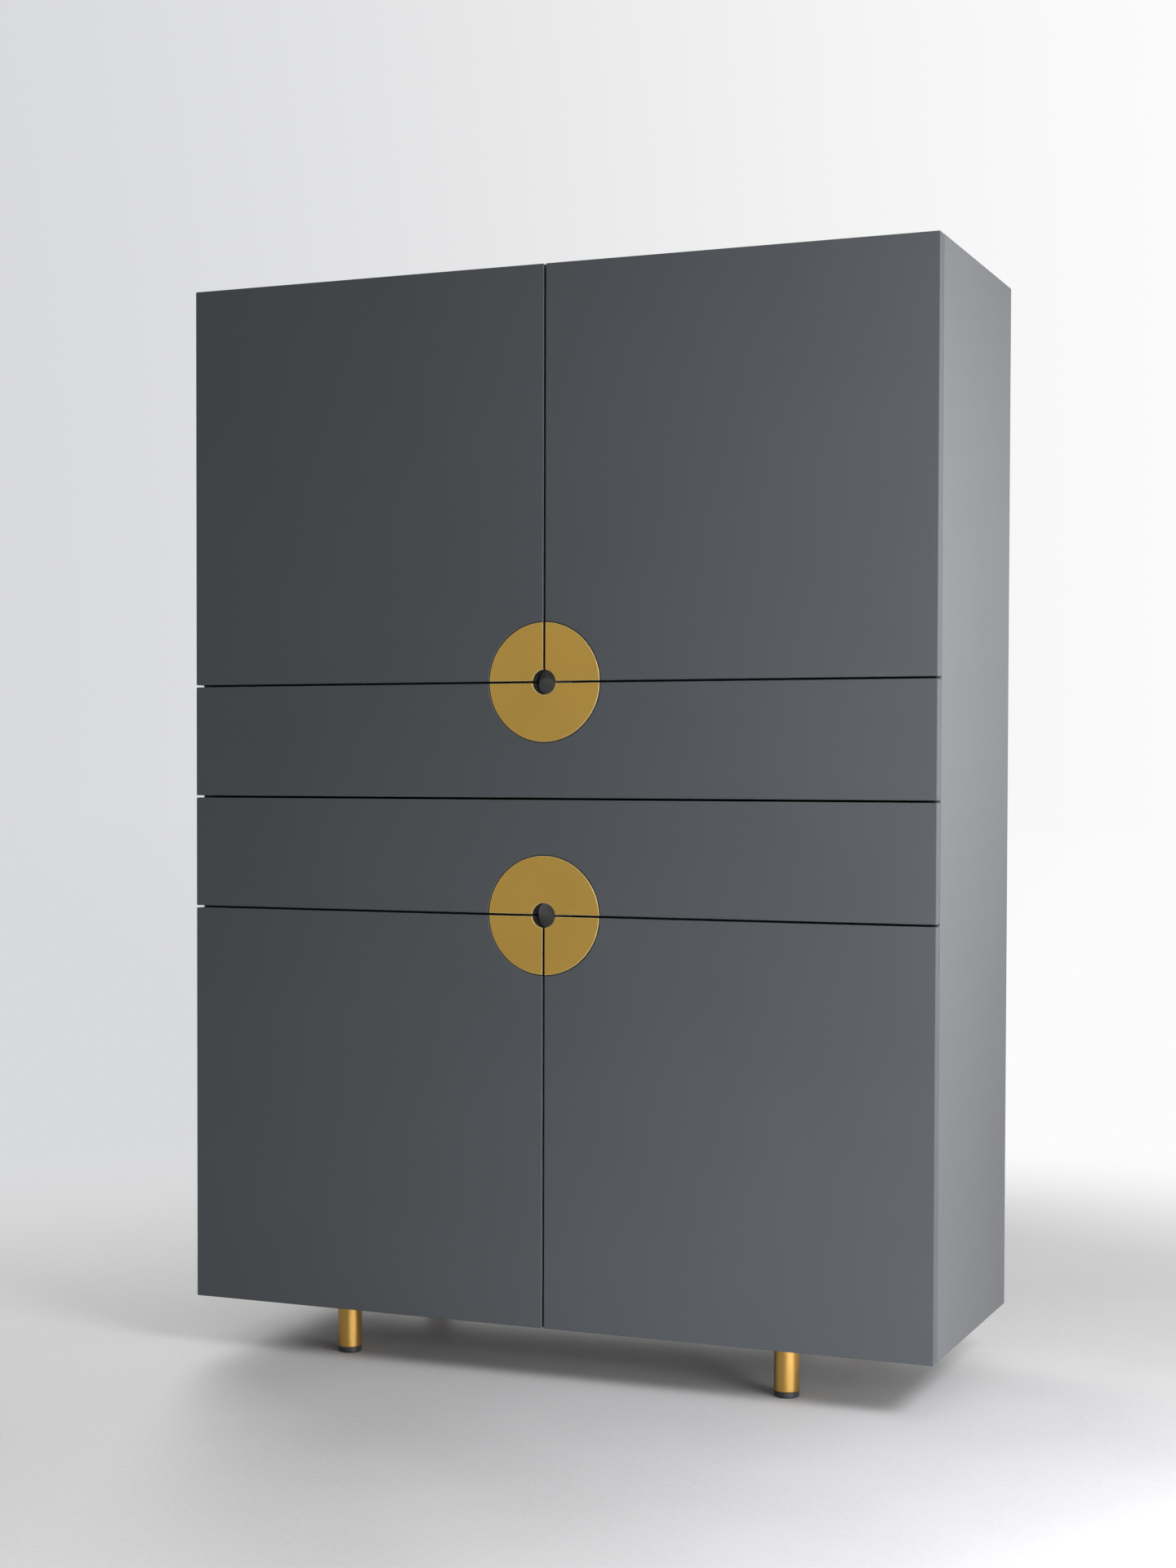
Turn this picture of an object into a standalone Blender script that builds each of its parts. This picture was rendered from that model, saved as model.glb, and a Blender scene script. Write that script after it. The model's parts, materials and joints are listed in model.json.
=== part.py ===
"""Highboard: a free-standing cabinet on four brass legs, with two doors above and two doors
below a pair of full-width drawers. Where a door pair meets a drawer front, an inlaid brass
disc with a round finger hole crosses the joints, so each front carries a piece of it.

Frame: metres, +Z up, the fronts face -Y, the origin is on the floor under the middle of the
body. Widths run along X, so side -1 is the left and side +1 the right seen from the front.
"""

import math

import bmesh
import bpy
from mathutils import Vector

# The body
BODY_WIDTH = 1.100
BODY_DEPTH = 0.412
DOOR_PITCH = 0.570
DRAWER_PITCH = 0.160
PANEL_THICKNESS = 0.019
BACK_THICKNESS = 0.008
SEAT_GAP = 0.0003
CUT_OVERRUN = 0.002

# The fronts
FRONT_THICKNESS = 0.019
FRONT_STANDOFF = 0.002
FRONT_JOINT = 0.003
FRONT_EDGE_ROUND = 0.001
PANEL_EDGE_ROUND = 0.0006

# The inlaid discs and their finger holes
DISC_RADIUS = 0.082
DISC_THICKNESS = 0.006
DISC_GROOVE = 0.0008
FINGER_HOLE_RADIUS = 0.017

# The finger cups behind the holes
CUP_RADIUS = 0.038
CUP_DEPTH = 0.022
CUP_WALL = 0.002
CUP_FLOOR_ROUND = 0.012

# The shelves and the pins that carry them
SHELF_SETBACK = 0.020
SHELF_BACK_ROOM = 0.008
SHELF_END_ROOM = 0.001
PIN_RADIUS = 0.0025
PIN_REACH = 0.008
PIN_INSET = 0.050

# The legs and glides
LEG_HEIGHT = 0.075
LEG_RADIUS = 0.0175
LEG_EDGE = 0.0008
LEG_INSET_X = 0.218
LEG_INSET_Y = 0.064
LEG_STUD_RADIUS = 0.004
LEG_STUD_LENGTH = 0.012
GLIDE_HEIGHT = 0.008
GLIDE_RADIUS = 0.0168
GLIDE_EDGE = 0.0015
GLIDE_STEM_RADIUS = 0.004
GLIDE_STEM_LENGTH = 0.010

# The door hinges: a cup in the door, a cranked arm on the side panel, one pin between them
HINGE_END_DISTANCE = 0.100
HINGE_AXIS_INSET = 0.006
HINGE_AXIS_DEPTH = 0.0094
HINGE_CUP_RADIUS = 0.0175
HINGE_CUP_MARGIN = 0.0027
HINGE_CUP_DEPTH = 0.0127
HINGE_CUP_WALL = 0.0008
HINGE_WING_WIDTH = 0.016
HINGE_WING_LENGTH = 0.056
HINGE_WING_THICKNESS = 0.0008
HINGE_RIM_STEP = 0.0002
HINGE_PIN_RADIUS = 0.001
HINGE_PIN_CLEARANCE = 0.0002
HINGE_KNUCKLE_RADIUS = 0.0019
HINGE_KNUCKLE_WIDTH = 0.007
ARM_STRAP_THICKNESS = 0.0025
ARM_STRAP_WIDTH = 0.008
ARM_STRAP_OFFSET = 0.005
ARM_BODY_WIDTH = 0.013
ARM_BODY_THICKNESS = 0.0065
ARM_BODY_SETBACK = 0.006
ARM_BODY_LENGTH = 0.058
ARM_BODY_LAP = 0.003
ARM_PLATE_SETBACK = 0.037
ARM_PLATE_DEPTH = 0.018
ARM_PLATE_LENGTH = 0.050
ARM_PLATE_THICKNESS = 0.003
ARM_SCREW_SPACING = 0.032
ARM_SCREW_RADIUS = 0.0038
ARM_SCREW_HEAD = 0.0014

# The drawers and their runners
DRAWER_CUP_ROOM = 0.0085
DRAWER_BACK_ROOM = 0.0197
DRAWER_BOX_RISE = 0.012
DRAWER_SIDE_THICKNESS = 0.014
DRAWER_BACK_THICKNESS = 0.012
DRAWER_BOTTOM_THICKNESS = 0.006
DRAWER_BOTTOM_RISE = 0.008
DRAWER_SIDE_ROOM = 0.003
RUNNER_HEIGHT = 0.014
RUNNER_SETBACK = 0.010
RUNNER_BACK_ROOM = 0.023
RUNNER_LAP = 0.0070
RUNNER_SIDE_PLAY = 0.0005
RUNNER_HEIGHT_PLAY = 0.0004

# Facets of the round pieces
DISC_FACETS = 80
LEG_FACETS = 24
CUP_FACETS = 32
HINGE_FACETS = 24
PIN_FACETS = 10
KNUCKLE_FACETS = 20
ROUND_STEPS = 4

# Places that follow from the sizes
SIDES = {"left": -1, "right": 1}
HALF_WIDTH = BODY_WIDTH / 2
INNER_HALF_WIDTH = HALF_WIDTH - PANEL_THICKNESS
FRONT_Y = -BODY_DEPTH / 2
FRONT_BACK_Y = FRONT_Y + FRONT_THICKNESS
CARCASS_Y = FRONT_BACK_Y + FRONT_STANDOFF
BACK_Y = BODY_DEPTH / 2
BACK_PANEL_Y = BACK_Y - BACK_THICKNESS
FLOOR_Z = LEG_HEIGHT
LOWER_JOINT_Z = FLOOR_Z + DOOR_PITCH
MIDDLE_JOINT_Z = LOWER_JOINT_Z + DRAWER_PITCH
UPPER_JOINT_Z = MIDDLE_JOINT_Z + DRAWER_PITCH
TOP_Z = UPPER_JOINT_Z + DOOR_PITCH
HALF_JOINT = FRONT_JOINT / 2
HINGE_CUP_CENTRE = HINGE_CUP_MARGIN + HINGE_CUP_RADIUS
DRAWER_OUTER_X = INNER_HALF_WIDTH - DRAWER_SIDE_ROOM
DRAWER_INNER_X = DRAWER_OUTER_X - DRAWER_SIDE_THICKNESS
DISC_POCKET_RADIUS = DISC_RADIUS + DISC_GROOVE
DRAWER_BOX_HEIGHT = DRAWER_PITCH - HALF_JOINT - DRAWER_BOX_RISE - CUP_RADIUS - DRAWER_CUP_ROOM
DRAWER_BOX_FRONT_Y = FRONT_BACK_Y + SEAT_GAP
DRAWER_BOX_REAR_Y = BACK_PANEL_Y - DRAWER_BACK_ROOM
RUNNER_REAR_Y = BACK_PANEL_Y - RUNNER_BACK_ROOM


def clear_scene():
    """Removes every object that the scene starts with."""
    for obj in list(bpy.data.objects):
        bpy.data.objects.remove(obj, do_unlink=True)


def new_collection(name):
    """A collection of that name, linked to the scene."""
    collection = bpy.data.collections.new(name)
    bpy.context.scene.collection.children.link(collection)
    return collection


def new_material(name, colour, roughness, metallic=0.0):
    """A plain material with a linear colour."""
    material = bpy.data.materials.new(name)
    material.use_nodes = True
    shader = material.node_tree.nodes["Principled BSDF"]
    shader.inputs["Base Color"].default_value = (*colour, 1.0)
    shader.inputs["Roughness"].default_value = roughness
    shader.inputs["Metallic"].default_value = metallic
    material.diffuse_color = (*colour, 1.0)
    return material


def add_object(name, data, material=None, helper=False):
    """An object of that data, among the parts or, as a helper, among the cutters."""
    obj = bpy.data.objects.new(name, data)
    (CUTTERS if helper else PARTS).objects.link(obj)
    if helper:
        obj.hide_render = True
        obj.display_type = "WIRE"
    if material and not obj.data.materials:
        obj.data.materials.append(material)
    return obj


def carry(obj, carrier):
    """Parents the object to its joint's empty and keeps it where it is."""
    if carrier:
        obj.parent = carrier
        obj.location = obj.location - carrier.location
    return obj


def joint_empty(name, location):
    """An empty on a joint's axis, which carries the pieces that move with it."""
    empty = bpy.data.objects.new(name, None)
    PARTS.objects.link(empty)
    empty.location = location
    return empty


def box(name, low, high, material=None, edge=0.0, helper=False):
    """A box between two corners, its edges rounded by a Bevel where an edge radius is given."""
    low, high = Vector(low), Vector(high)
    mesh = bpy.data.meshes.new(name)
    shape = bmesh.new()
    bmesh.ops.create_cube(shape, size=1)
    bmesh.ops.scale(shape, vec=high - low, verts=shape.verts)
    shape.to_mesh(mesh)
    shape.free()
    obj = add_object(name, mesh, material, helper)
    obj.location = (low + high) / 2
    if edge:
        bevel = obj.modifiers.new("edge", "BEVEL")
        bevel.width = edge
        bevel.segments = 2 if edge > PANEL_EDGE_ROUND else 1
        bevel.limit_method = "ANGLE"
    return obj


def cylinder(name, centre, axis, radius, length, facets, material=None, helper=False):
    """A cylinder about an axis X, Y or Z through its centre."""
    mesh = bpy.data.meshes.new(name)
    shape = bmesh.new()
    bmesh.ops.create_cone(
        shape, cap_ends=True, segments=facets, radius1=radius, radius2=radius, depth=length
    )
    shape.to_mesh(mesh)
    shape.free()
    mesh.shade_smooth()
    mesh.set_sharp_from_angle(angle=math.radians(40))
    obj = add_object(name, mesh, material, helper)
    obj.location = centre
    obj.rotation_euler = Vector((0, 0, 1)).rotation_difference(Vector(axis)).to_euler()
    return obj


def turned(name, profile, facets, material):
    """A turned shape: the profile, run from the top down its outer side, swept about Z."""
    mesh = bpy.data.meshes.new(name)
    edges = [(i, i + 1) for i in range(len(profile) - 1)]
    mesh.from_pydata([(x, 0, z) for x, z in profile], edges, [])
    obj = add_object(name, mesh, material)
    screw = obj.modifiers.new("turn", "SCREW")
    screw.steps = facets
    screw.render_steps = facets
    screw.use_merge_vertices = True
    screw.merge_threshold = 0.00002
    screw.use_smooth_shade = True
    return obj


def outline_solid(name, points, thickness, material=None, helper=False):
    """A flat outline in X and Y, made solid by half its thickness each way, as a closed mesh."""
    curve = bpy.data.curves.new(name, "CURVE")
    curve.dimensions = "2D"
    curve.fill_mode = "BOTH"
    curve.extrude = thickness / 2
    spline = curve.splines.new("POLY")
    spline.points.add(len(points) - 1)
    for place, (x, y) in zip(spline.points, points):
        place.co = (x, y, 0, 1)
    spline.use_cyclic_u = True
    flat = add_object(name + "_outline", curve, helper=True)
    bpy.context.view_layer.update()
    evaluated = flat.evaluated_get(bpy.context.evaluated_depsgraph_get())
    mesh = bpy.data.meshes.new_from_object(evaluated)
    bpy.data.objects.remove(flat, do_unlink=True)
    shape = bmesh.new()
    shape.from_mesh(mesh)
    bmesh.ops.remove_doubles(shape, verts=shape.verts, dist=0.00001)
    bmesh.ops.recalc_face_normals(shape, faces=shape.faces)
    shape.to_mesh(mesh)
    shape.free()
    mesh.name = name
    return add_object(name, mesh, material, helper)


def combine(obj, other, operation):
    """A Boolean of the object with a helper."""
    modifier = obj.modifiers.new(other.name, "BOOLEAN")
    modifier.operation = operation
    modifier.object = other
    modifier.solver = "EXACT"
    return obj


def settle(obj):
    """The object's evaluated mesh in place of its modifiers, with its helpers removed."""
    bpy.context.view_layer.update()
    helpers = [modifier.object for modifier in obj.modifiers if modifier.type == "BOOLEAN"]
    evaluated = obj.evaluated_get(bpy.context.evaluated_depsgraph_get())
    mesh = bpy.data.meshes.new_from_object(evaluated)
    obj.modifiers.clear()
    obj.data = mesh
    for helper in helpers:
        bpy.data.objects.remove(helper, do_unlink=True)
    return mesh


def arc(radius, start, end, steps, centre=(0, 0)):
    """Points of an arc between two angles, both ends included."""
    return [
        (
            centre[0] + radius * math.cos(start + (end - start) * i / steps),
            centre[1] + radius * math.sin(start + (end - start) * i / steps),
        )
        for i in range(steps + 1)
    ]


def carcass():
    """The fixed panels: sides, top, bottom, two dividers, back and two shelves."""
    for name, side in SIDES.items():
        inner = side * INNER_HALF_WIDTH
        outer = side * HALF_WIDTH
        low = (min(inner, outer), CARCASS_Y, FLOOR_Z)
        high = (max(inner, outer), BACK_Y, TOP_Z)
        panel = box(f"side_panel_{name}", low, high, LACQUER, PANEL_EDGE_ROUND)
        for level in (shelf_level(FLOOR_Z, LOWER_JOINT_Z), shelf_level(UPPER_JOINT_Z, TOP_Z)):
            add_shelf_pins(panel, name, side, level)

    span = INNER_HALF_WIDTH - SEAT_GAP
    deep = BACK_PANEL_Y - SEAT_GAP
    top_low = (-span, CARCASS_Y, TOP_Z - PANEL_THICKNESS)
    box("top_panel", top_low, (span, deep, TOP_Z), LACQUER, PANEL_EDGE_ROUND)
    bottom = box(
        "bottom_panel",
        (-span, CARCASS_Y, FLOOR_Z),
        (span, deep, FLOOR_Z + PANEL_THICKNESS),
        LACQUER,
        PANEL_EDGE_ROUND,
    )
    for x, y, name in leg_places():
        hole = cylinder(
            f"stud_hole_{name}",
            (x, y, FLOOR_Z),
            (0, 0, 1),
            LEG_STUD_RADIUS + SEAT_GAP,
            2 * (LEG_STUD_LENGTH + SEAT_GAP),
            PIN_FACETS,
            helper=True,
        )
        combine(bottom, hole, "DIFFERENCE")
    box("back_panel", (-span, BACK_PANEL_Y, FLOOR_Z), (span, BACK_Y, TOP_Z), LACQUER)

    for name, level in (("lower", LOWER_JOINT_Z), ("upper", UPPER_JOINT_Z)):
        half = PANEL_THICKNESS / 2
        divider = box(
            f"{name}_divider",
            (-span, CARCASS_Y, level - half),
            (span, deep, level + half),
            LACQUER,
            PANEL_EDGE_ROUND,
        )
        reach = CUP_RADIUS + SEAT_GAP
        notch = box(
            f"{name}_cup_notch",
            (-reach, CARCASS_Y - CUT_OVERRUN, level - half - CUT_OVERRUN),
            (reach, CARCASS_Y + CUP_DEPTH + SEAT_GAP, level + half + CUT_OVERRUN),
            helper=True,
        )
        combine(divider, notch, "DIFFERENCE")

    shelf_half = INNER_HALF_WIDTH - SHELF_END_ROOM
    for name, low, high in (("lower", FLOOR_Z, LOWER_JOINT_Z), ("upper", UPPER_JOINT_Z, TOP_Z)):
        level = shelf_level(low, high)
        box(
            f"{name}_shelf",
            (-shelf_half, CARCASS_Y + SHELF_SETBACK, level),
            (shelf_half, BACK_PANEL_Y - SHELF_BACK_ROOM, level + PANEL_THICKNESS),
            LACQUER,
            PANEL_EDGE_ROUND,
        )


def shelf_level(low, high):
    """The underside of a shelf half-way up its compartment."""
    return (low + high - PANEL_THICKNESS) / 2


def add_shelf_pins(panel, name, side, level):
    """Two pins of a side panel under one end of a shelf."""
    shelf_front = CARCASS_Y + SHELF_SETBACK
    shelf_rear = BACK_PANEL_Y - SHELF_BACK_ROOM
    for order, y in enumerate((shelf_front + PIN_INSET, shelf_rear - PIN_INSET)):
        length = PIN_REACH + CUT_OVERRUN
        pin = cylinder(
            f"shelf_pin_{name}_{level:.3f}_{order}",
            (side * (INNER_HALF_WIDTH - PIN_REACH + length / 2), y, level - SEAT_GAP - PIN_RADIUS),
            (1, 0, 0),
            PIN_RADIUS,
            length,
            PIN_FACETS,
            helper=True,
        )
        combine(panel, pin, "UNION")


def leg_places():
    """Where the four legs stand, with their names."""
    for depth_name, y in (("front", FRONT_Y + LEG_INSET_Y), ("rear", BACK_Y - LEG_INSET_Y)):
        for side_name, side in SIDES.items():
            yield side * (HALF_WIDTH - LEG_INSET_X), y, f"{depth_name}_{side_name}"


def legs():
    """Turned brass legs with a stud into the bottom panel, each on a black glide."""
    top = LEG_HEIGHT - SEAT_GAP
    low = GLIDE_HEIGHT + SEAT_GAP
    bore = GLIDE_STEM_RADIUS + SEAT_GAP
    bore_top = low + GLIDE_STEM_LENGTH + SEAT_GAP
    leg_profile = [
        (0, top + LEG_STUD_LENGTH),
        (LEG_STUD_RADIUS, top + LEG_STUD_LENGTH),
        (LEG_STUD_RADIUS, top),
        (LEG_RADIUS - LEG_EDGE, top),
        (LEG_RADIUS, top - LEG_EDGE),
        (LEG_RADIUS, low + LEG_EDGE),
        (LEG_RADIUS - LEG_EDGE, low),
        (bore, low),
        (bore, bore_top),
        (0, bore_top),
    ]
    glide_profile = [
        (0, GLIDE_HEIGHT + GLIDE_STEM_LENGTH),
        (GLIDE_STEM_RADIUS, GLIDE_HEIGHT + GLIDE_STEM_LENGTH),
        (GLIDE_STEM_RADIUS, GLIDE_HEIGHT),
        (GLIDE_RADIUS, GLIDE_HEIGHT),
        (GLIDE_RADIUS, GLIDE_EDGE),
        (GLIDE_RADIUS - GLIDE_EDGE, 0),
        (0, 0),
    ]
    for x, y, name in leg_places():
        turned(f"leg_{name}", leg_profile, LEG_FACETS, BRASS).location = (x, y, 0)
        turned(f"glide_{name}", glide_profile, LEG_FACETS, GLIDE_PLASTIC).location = (x, y, 0)


def finger_cups():
    """Turned bowls in the dividers, wider than the finger holes in front of them."""
    inner = CUP_RADIUS - CUP_WALL
    inner_round = CUP_FLOOR_ROUND - CUP_WALL
    floor = CUP_DEPTH - CUP_WALL
    outer_centre = (CUP_RADIUS - CUP_FLOOR_ROUND, CUP_FLOOR_ROUND - CUP_DEPTH)
    inner_centre = (inner - inner_round, inner_round - floor)
    outer_arc = arc(CUP_FLOOR_ROUND, 0, -math.pi / 2, ROUND_STEPS, outer_centre)
    inner_arc = arc(inner_round, -math.pi / 2, 0, ROUND_STEPS, inner_centre)
    profile = [(0, -floor), *inner_arc, (inner, 0), (CUP_RADIUS, 0), *outer_arc, (0, -CUP_DEPTH)]
    for name, level in (("lower", LOWER_JOINT_Z), ("upper", UPPER_JOINT_Z)):
        cup = turned(f"finger_cup_{name}", profile, CUP_FACETS, CUP_PAINT)
        cup.rotation_euler = (math.pi / 2, 0, 0)
        cup.location = (0, CARCASS_Y, level)


def cut_disc_pocket(front, level):
    """The pocket of an inlaid disc and its finger hole, cut into a front."""
    deep = DISC_THICKNESS + SEAT_GAP
    pocket = cylinder(
        f"{front.name}_disc_pocket",
        (0, FRONT_Y + (deep - CUT_OVERRUN) / 2, level),
        (0, 1, 0),
        DISC_POCKET_RADIUS,
        deep + CUT_OVERRUN,
        DISC_FACETS,
        helper=True,
    )
    hole = cylinder(
        f"{front.name}_finger_hole",
        (0, (FRONT_Y + FRONT_BACK_Y) / 2, level),
        (0, 1, 0),
        FINGER_HOLE_RADIUS,
        FRONT_THICKNESS + 2 * CUT_OVERRUN,
        DISC_FACETS,
        helper=True,
    )
    combine(front, pocket, "DIFFERENCE")
    combine(front, hole, "DIFFERENCE")


def disc_piece(name, level, first, quarters, carrier):
    """A piece of a disc over some quarters of the circle, counted from +X towards +Z.

    Its straight edges lie half a joint from the disc's centre lines, flush with its front.
    """
    start = first * math.pi / 2
    end = start + quarters * math.pi / 2
    outer_turn = math.asin(HALF_JOINT / DISC_RADIUS)
    inner_turn = math.asin(HALF_JOINT / FINGER_HOLE_RADIUS)
    steps = quarters * DISC_FACETS // 4
    outline = arc(DISC_RADIUS, start + outer_turn, end - outer_turn, steps)
    outline += arc(FINGER_HOLE_RADIUS, end - inner_turn, start + inner_turn, steps)
    piece = outline_solid(name, outline, DISC_THICKNESS, BRASS)
    piece.rotation_euler = (math.pi / 2, 0, 0)
    piece.location = (0, FRONT_Y + DISC_THICKNESS / 2, level)
    return carry(piece, carrier)


def doors():
    """Four doors with their quarter discs and hinge cups."""
    quarter_of = {("upper", 1): 0, ("upper", -1): 1, ("lower", -1): 2, ("lower", 1): 3}
    bands = {
        "upper": (UPPER_JOINT_Z + HALF_JOINT, TOP_Z, UPPER_JOINT_Z),
        "lower": (FLOOR_Z, LOWER_JOINT_Z - HALF_JOINT, LOWER_JOINT_Z),
    }
    for row, (low, high, joint) in bands.items():
        for side_name, side in SIDES.items():
            name = f"{row}_{side_name}"
            axis_x = side * (HALF_WIDTH - HINGE_AXIS_INSET)
            axis_y = FRONT_Y + HINGE_AXIS_DEPTH
            carrier = joint_empty(f"{name}_door_axis", (axis_x, axis_y, (low + high) / 2))
            edges = sorted((side * HALF_JOINT, side * HALF_WIDTH))
            door_low = (edges[0], FRONT_Y, low)
            door_high = (edges[1], FRONT_BACK_Y, high)
            door = box(f"door_{name}", door_low, door_high, LACQUER, FRONT_EDGE_ROUND)
            cut_disc_pocket(door, joint)
            for place, level in (("bottom", low + HINGE_END_DISTANCE), ("top", high - HINGE_END_DISTANCE)):
                pocket_depth = HINGE_CUP_DEPTH + SEAT_GAP
                pocket = cylinder(
                    f"{name}_{place}_cup_pocket",
                    (
                        side * (HALF_WIDTH - HINGE_CUP_CENTRE),
                        FRONT_BACK_Y - (pocket_depth - CUT_OVERRUN) / 2,
                        level,
                    ),
                    (0, 1, 0),
                    HINGE_CUP_RADIUS + SEAT_GAP,
                    pocket_depth + CUT_OVERRUN,
                    HINGE_FACETS,
                    helper=True,
                )
                combine(door, pocket, "DIFFERENCE")
                cup = add_object(f"hinge_cup_{name}_{place}", HINGE_CUP_MESHES[side], STEEL)
                cup.location = (axis_x, axis_y, level)
                carry(cup, carrier)
                arm = add_object(f"hinge_arm_{name}_{place}", HINGE_ARM_MESHES[side], STEEL)
                arm.location = (axis_x, axis_y, level)
            carry(door, carrier)
            disc_piece(f"disc_{name}", joint, quarter_of[row, side], 1, carrier)


def hinge_cup_mesh(side):
    """A hinge cup about its pin: a round cup, a wing plate on the door's back and the pin."""
    centre_x = -side * (HINGE_CUP_CENTRE - HINGE_AXIS_INSET)
    door_back = FRONT_THICKNESS - HINGE_AXIS_DEPTH
    wing_low = door_back + SEAT_GAP
    wing_high = wing_low + HINGE_WING_THICKNESS
    rim = wing_high - HINGE_RIM_STEP
    floor = door_back - HINGE_CUP_DEPTH
    cup_centre = (centre_x, (floor + rim) / 2, 0)
    cup = cylinder("hinge_cup", cup_centre, (0, 1, 0), HINGE_CUP_RADIUS, rim - floor, HINGE_FACETS)
    cup.data.transform(cup.matrix_basis)
    cup.matrix_basis.identity()
    wing = box(
        "hinge_wing",
        (centre_x - HINGE_WING_WIDTH / 2, wing_low, -HINGE_WING_LENGTH / 2),
        (centre_x + HINGE_WING_WIDTH / 2, wing_high, HINGE_WING_LENGTH / 2),
        helper=True,
    )
    inner_radius = HINGE_CUP_RADIUS - HINGE_CUP_WALL
    inner_floor = floor + HINGE_CUP_WALL
    mouth_top = wing_high + CUT_OVERRUN
    mouth = cylinder(
        "hinge_mouth",
        (centre_x, (inner_floor + mouth_top) / 2, 0),
        (0, 1, 0),
        inner_radius,
        mouth_top - inner_floor,
        HINGE_FACETS,
        helper=True,
    )
    pin_outside = HINGE_CUP_CENTRE - HINGE_AXIS_INSET + HINGE_PIN_RADIUS
    half_pin = math.sqrt((HINGE_CUP_RADIUS - HINGE_RIM_STEP) ** 2 - pin_outside**2)
    pin = cylinder(
        "hinge_pin", (0, 0, 0), (0, 0, 1), HINGE_PIN_RADIUS, 2 * half_pin, PIN_FACETS, helper=True
    )
    combine(cup, wing, "UNION")
    combine(cup, mouth, "DIFFERENCE")
    combine(cup, pin, "UNION")
    mesh = settle(cup)
    bpy.data.objects.remove(cup, do_unlink=True)
    return mesh


def hinge_arm_mesh(side):
    """A hinge arm about its pin: knuckle, cranked strap, body, base plate and two screw heads.

    Worked out on plan as the distance in from the outer side and the depth behind the front,
    both counted from the pin.
    """

    def across(distance):
        return -side * (distance - HINGE_AXIS_INSET)

    half_strap = ARM_STRAP_THICKNESS / 2
    carcass_depth = FRONT_THICKNESS + FRONT_STANDOFF - HINGE_AXIS_DEPTH
    seat = PANEL_THICKNESS + SEAT_GAP
    knee_near = PANEL_THICKNESS + ARM_STRAP_OFFSET
    knee_far = knee_near + ARM_STRAP_THICKNESS
    body_front = carcass_depth + ARM_BODY_SETBACK
    strap_end = body_front + ARM_BODY_LAP
    outline = [
        (across(HINGE_AXIS_INSET), -half_strap),
        (across(knee_far), -half_strap),
        (across(knee_far), strap_end),
        (across(knee_near), strap_end),
        (across(knee_near), half_strap),
        (across(HINGE_AXIS_INSET), half_strap),
    ]
    arm = outline_solid("hinge_arm", outline, ARM_STRAP_WIDTH, STEEL)
    knuckle = cylinder(
        "knuckle",
        (0, 0, 0),
        (0, 0, 1),
        HINGE_KNUCKLE_RADIUS,
        HINGE_KNUCKLE_WIDTH,
        KNUCKLE_FACETS,
        helper=True,
    )

    def arm_box(name, near, far, front, rear, width):
        xs = sorted((across(near), across(far)))
        return box(name, (xs[0], front, -width / 2), (xs[1], rear, width / 2), helper=True)

    plate_top = seat + ARM_PLATE_THICKNESS
    body_near = plate_top - ARM_PLATE_THICKNESS / 2
    body_far = max(body_near + ARM_BODY_THICKNESS, knee_far + half_strap)
    body_rear = body_front + ARM_BODY_LENGTH
    body = arm_box("arm_body", body_near, body_far, body_front, body_rear, ARM_BODY_WIDTH)
    plate_middle = carcass_depth + ARM_PLATE_SETBACK
    plate = arm_box(
        "arm_plate",
        seat,
        plate_top,
        plate_middle - ARM_PLATE_DEPTH / 2,
        plate_middle + ARM_PLATE_DEPTH / 2,
        ARM_PLATE_LENGTH,
    )
    bore = cylinder(
        "knuckle_bore",
        (0, 0, 0),
        (0, 0, 1),
        HINGE_PIN_RADIUS + HINGE_PIN_CLEARANCE,
        ARM_STRAP_WIDTH + 2 * CUT_OVERRUN,
        PIN_FACETS,
        helper=True,
    )
    for helper in (knuckle, body, plate):
        combine(arm, helper, "UNION")
    for end in (-1, 1):
        head = cylinder(
            f"arm_screw_{end}",
            (across(plate_top), plate_middle, end * ARM_SCREW_SPACING / 2),
            (1, 0, 0),
            ARM_SCREW_RADIUS,
            2 * ARM_SCREW_HEAD,
            PIN_FACETS,
            helper=True,
        )
        combine(arm, head, "UNION")
    combine(arm, bore, "DIFFERENCE")
    mesh = settle(arm)
    bpy.data.objects.remove(arm, do_unlink=True)
    return mesh


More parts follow.
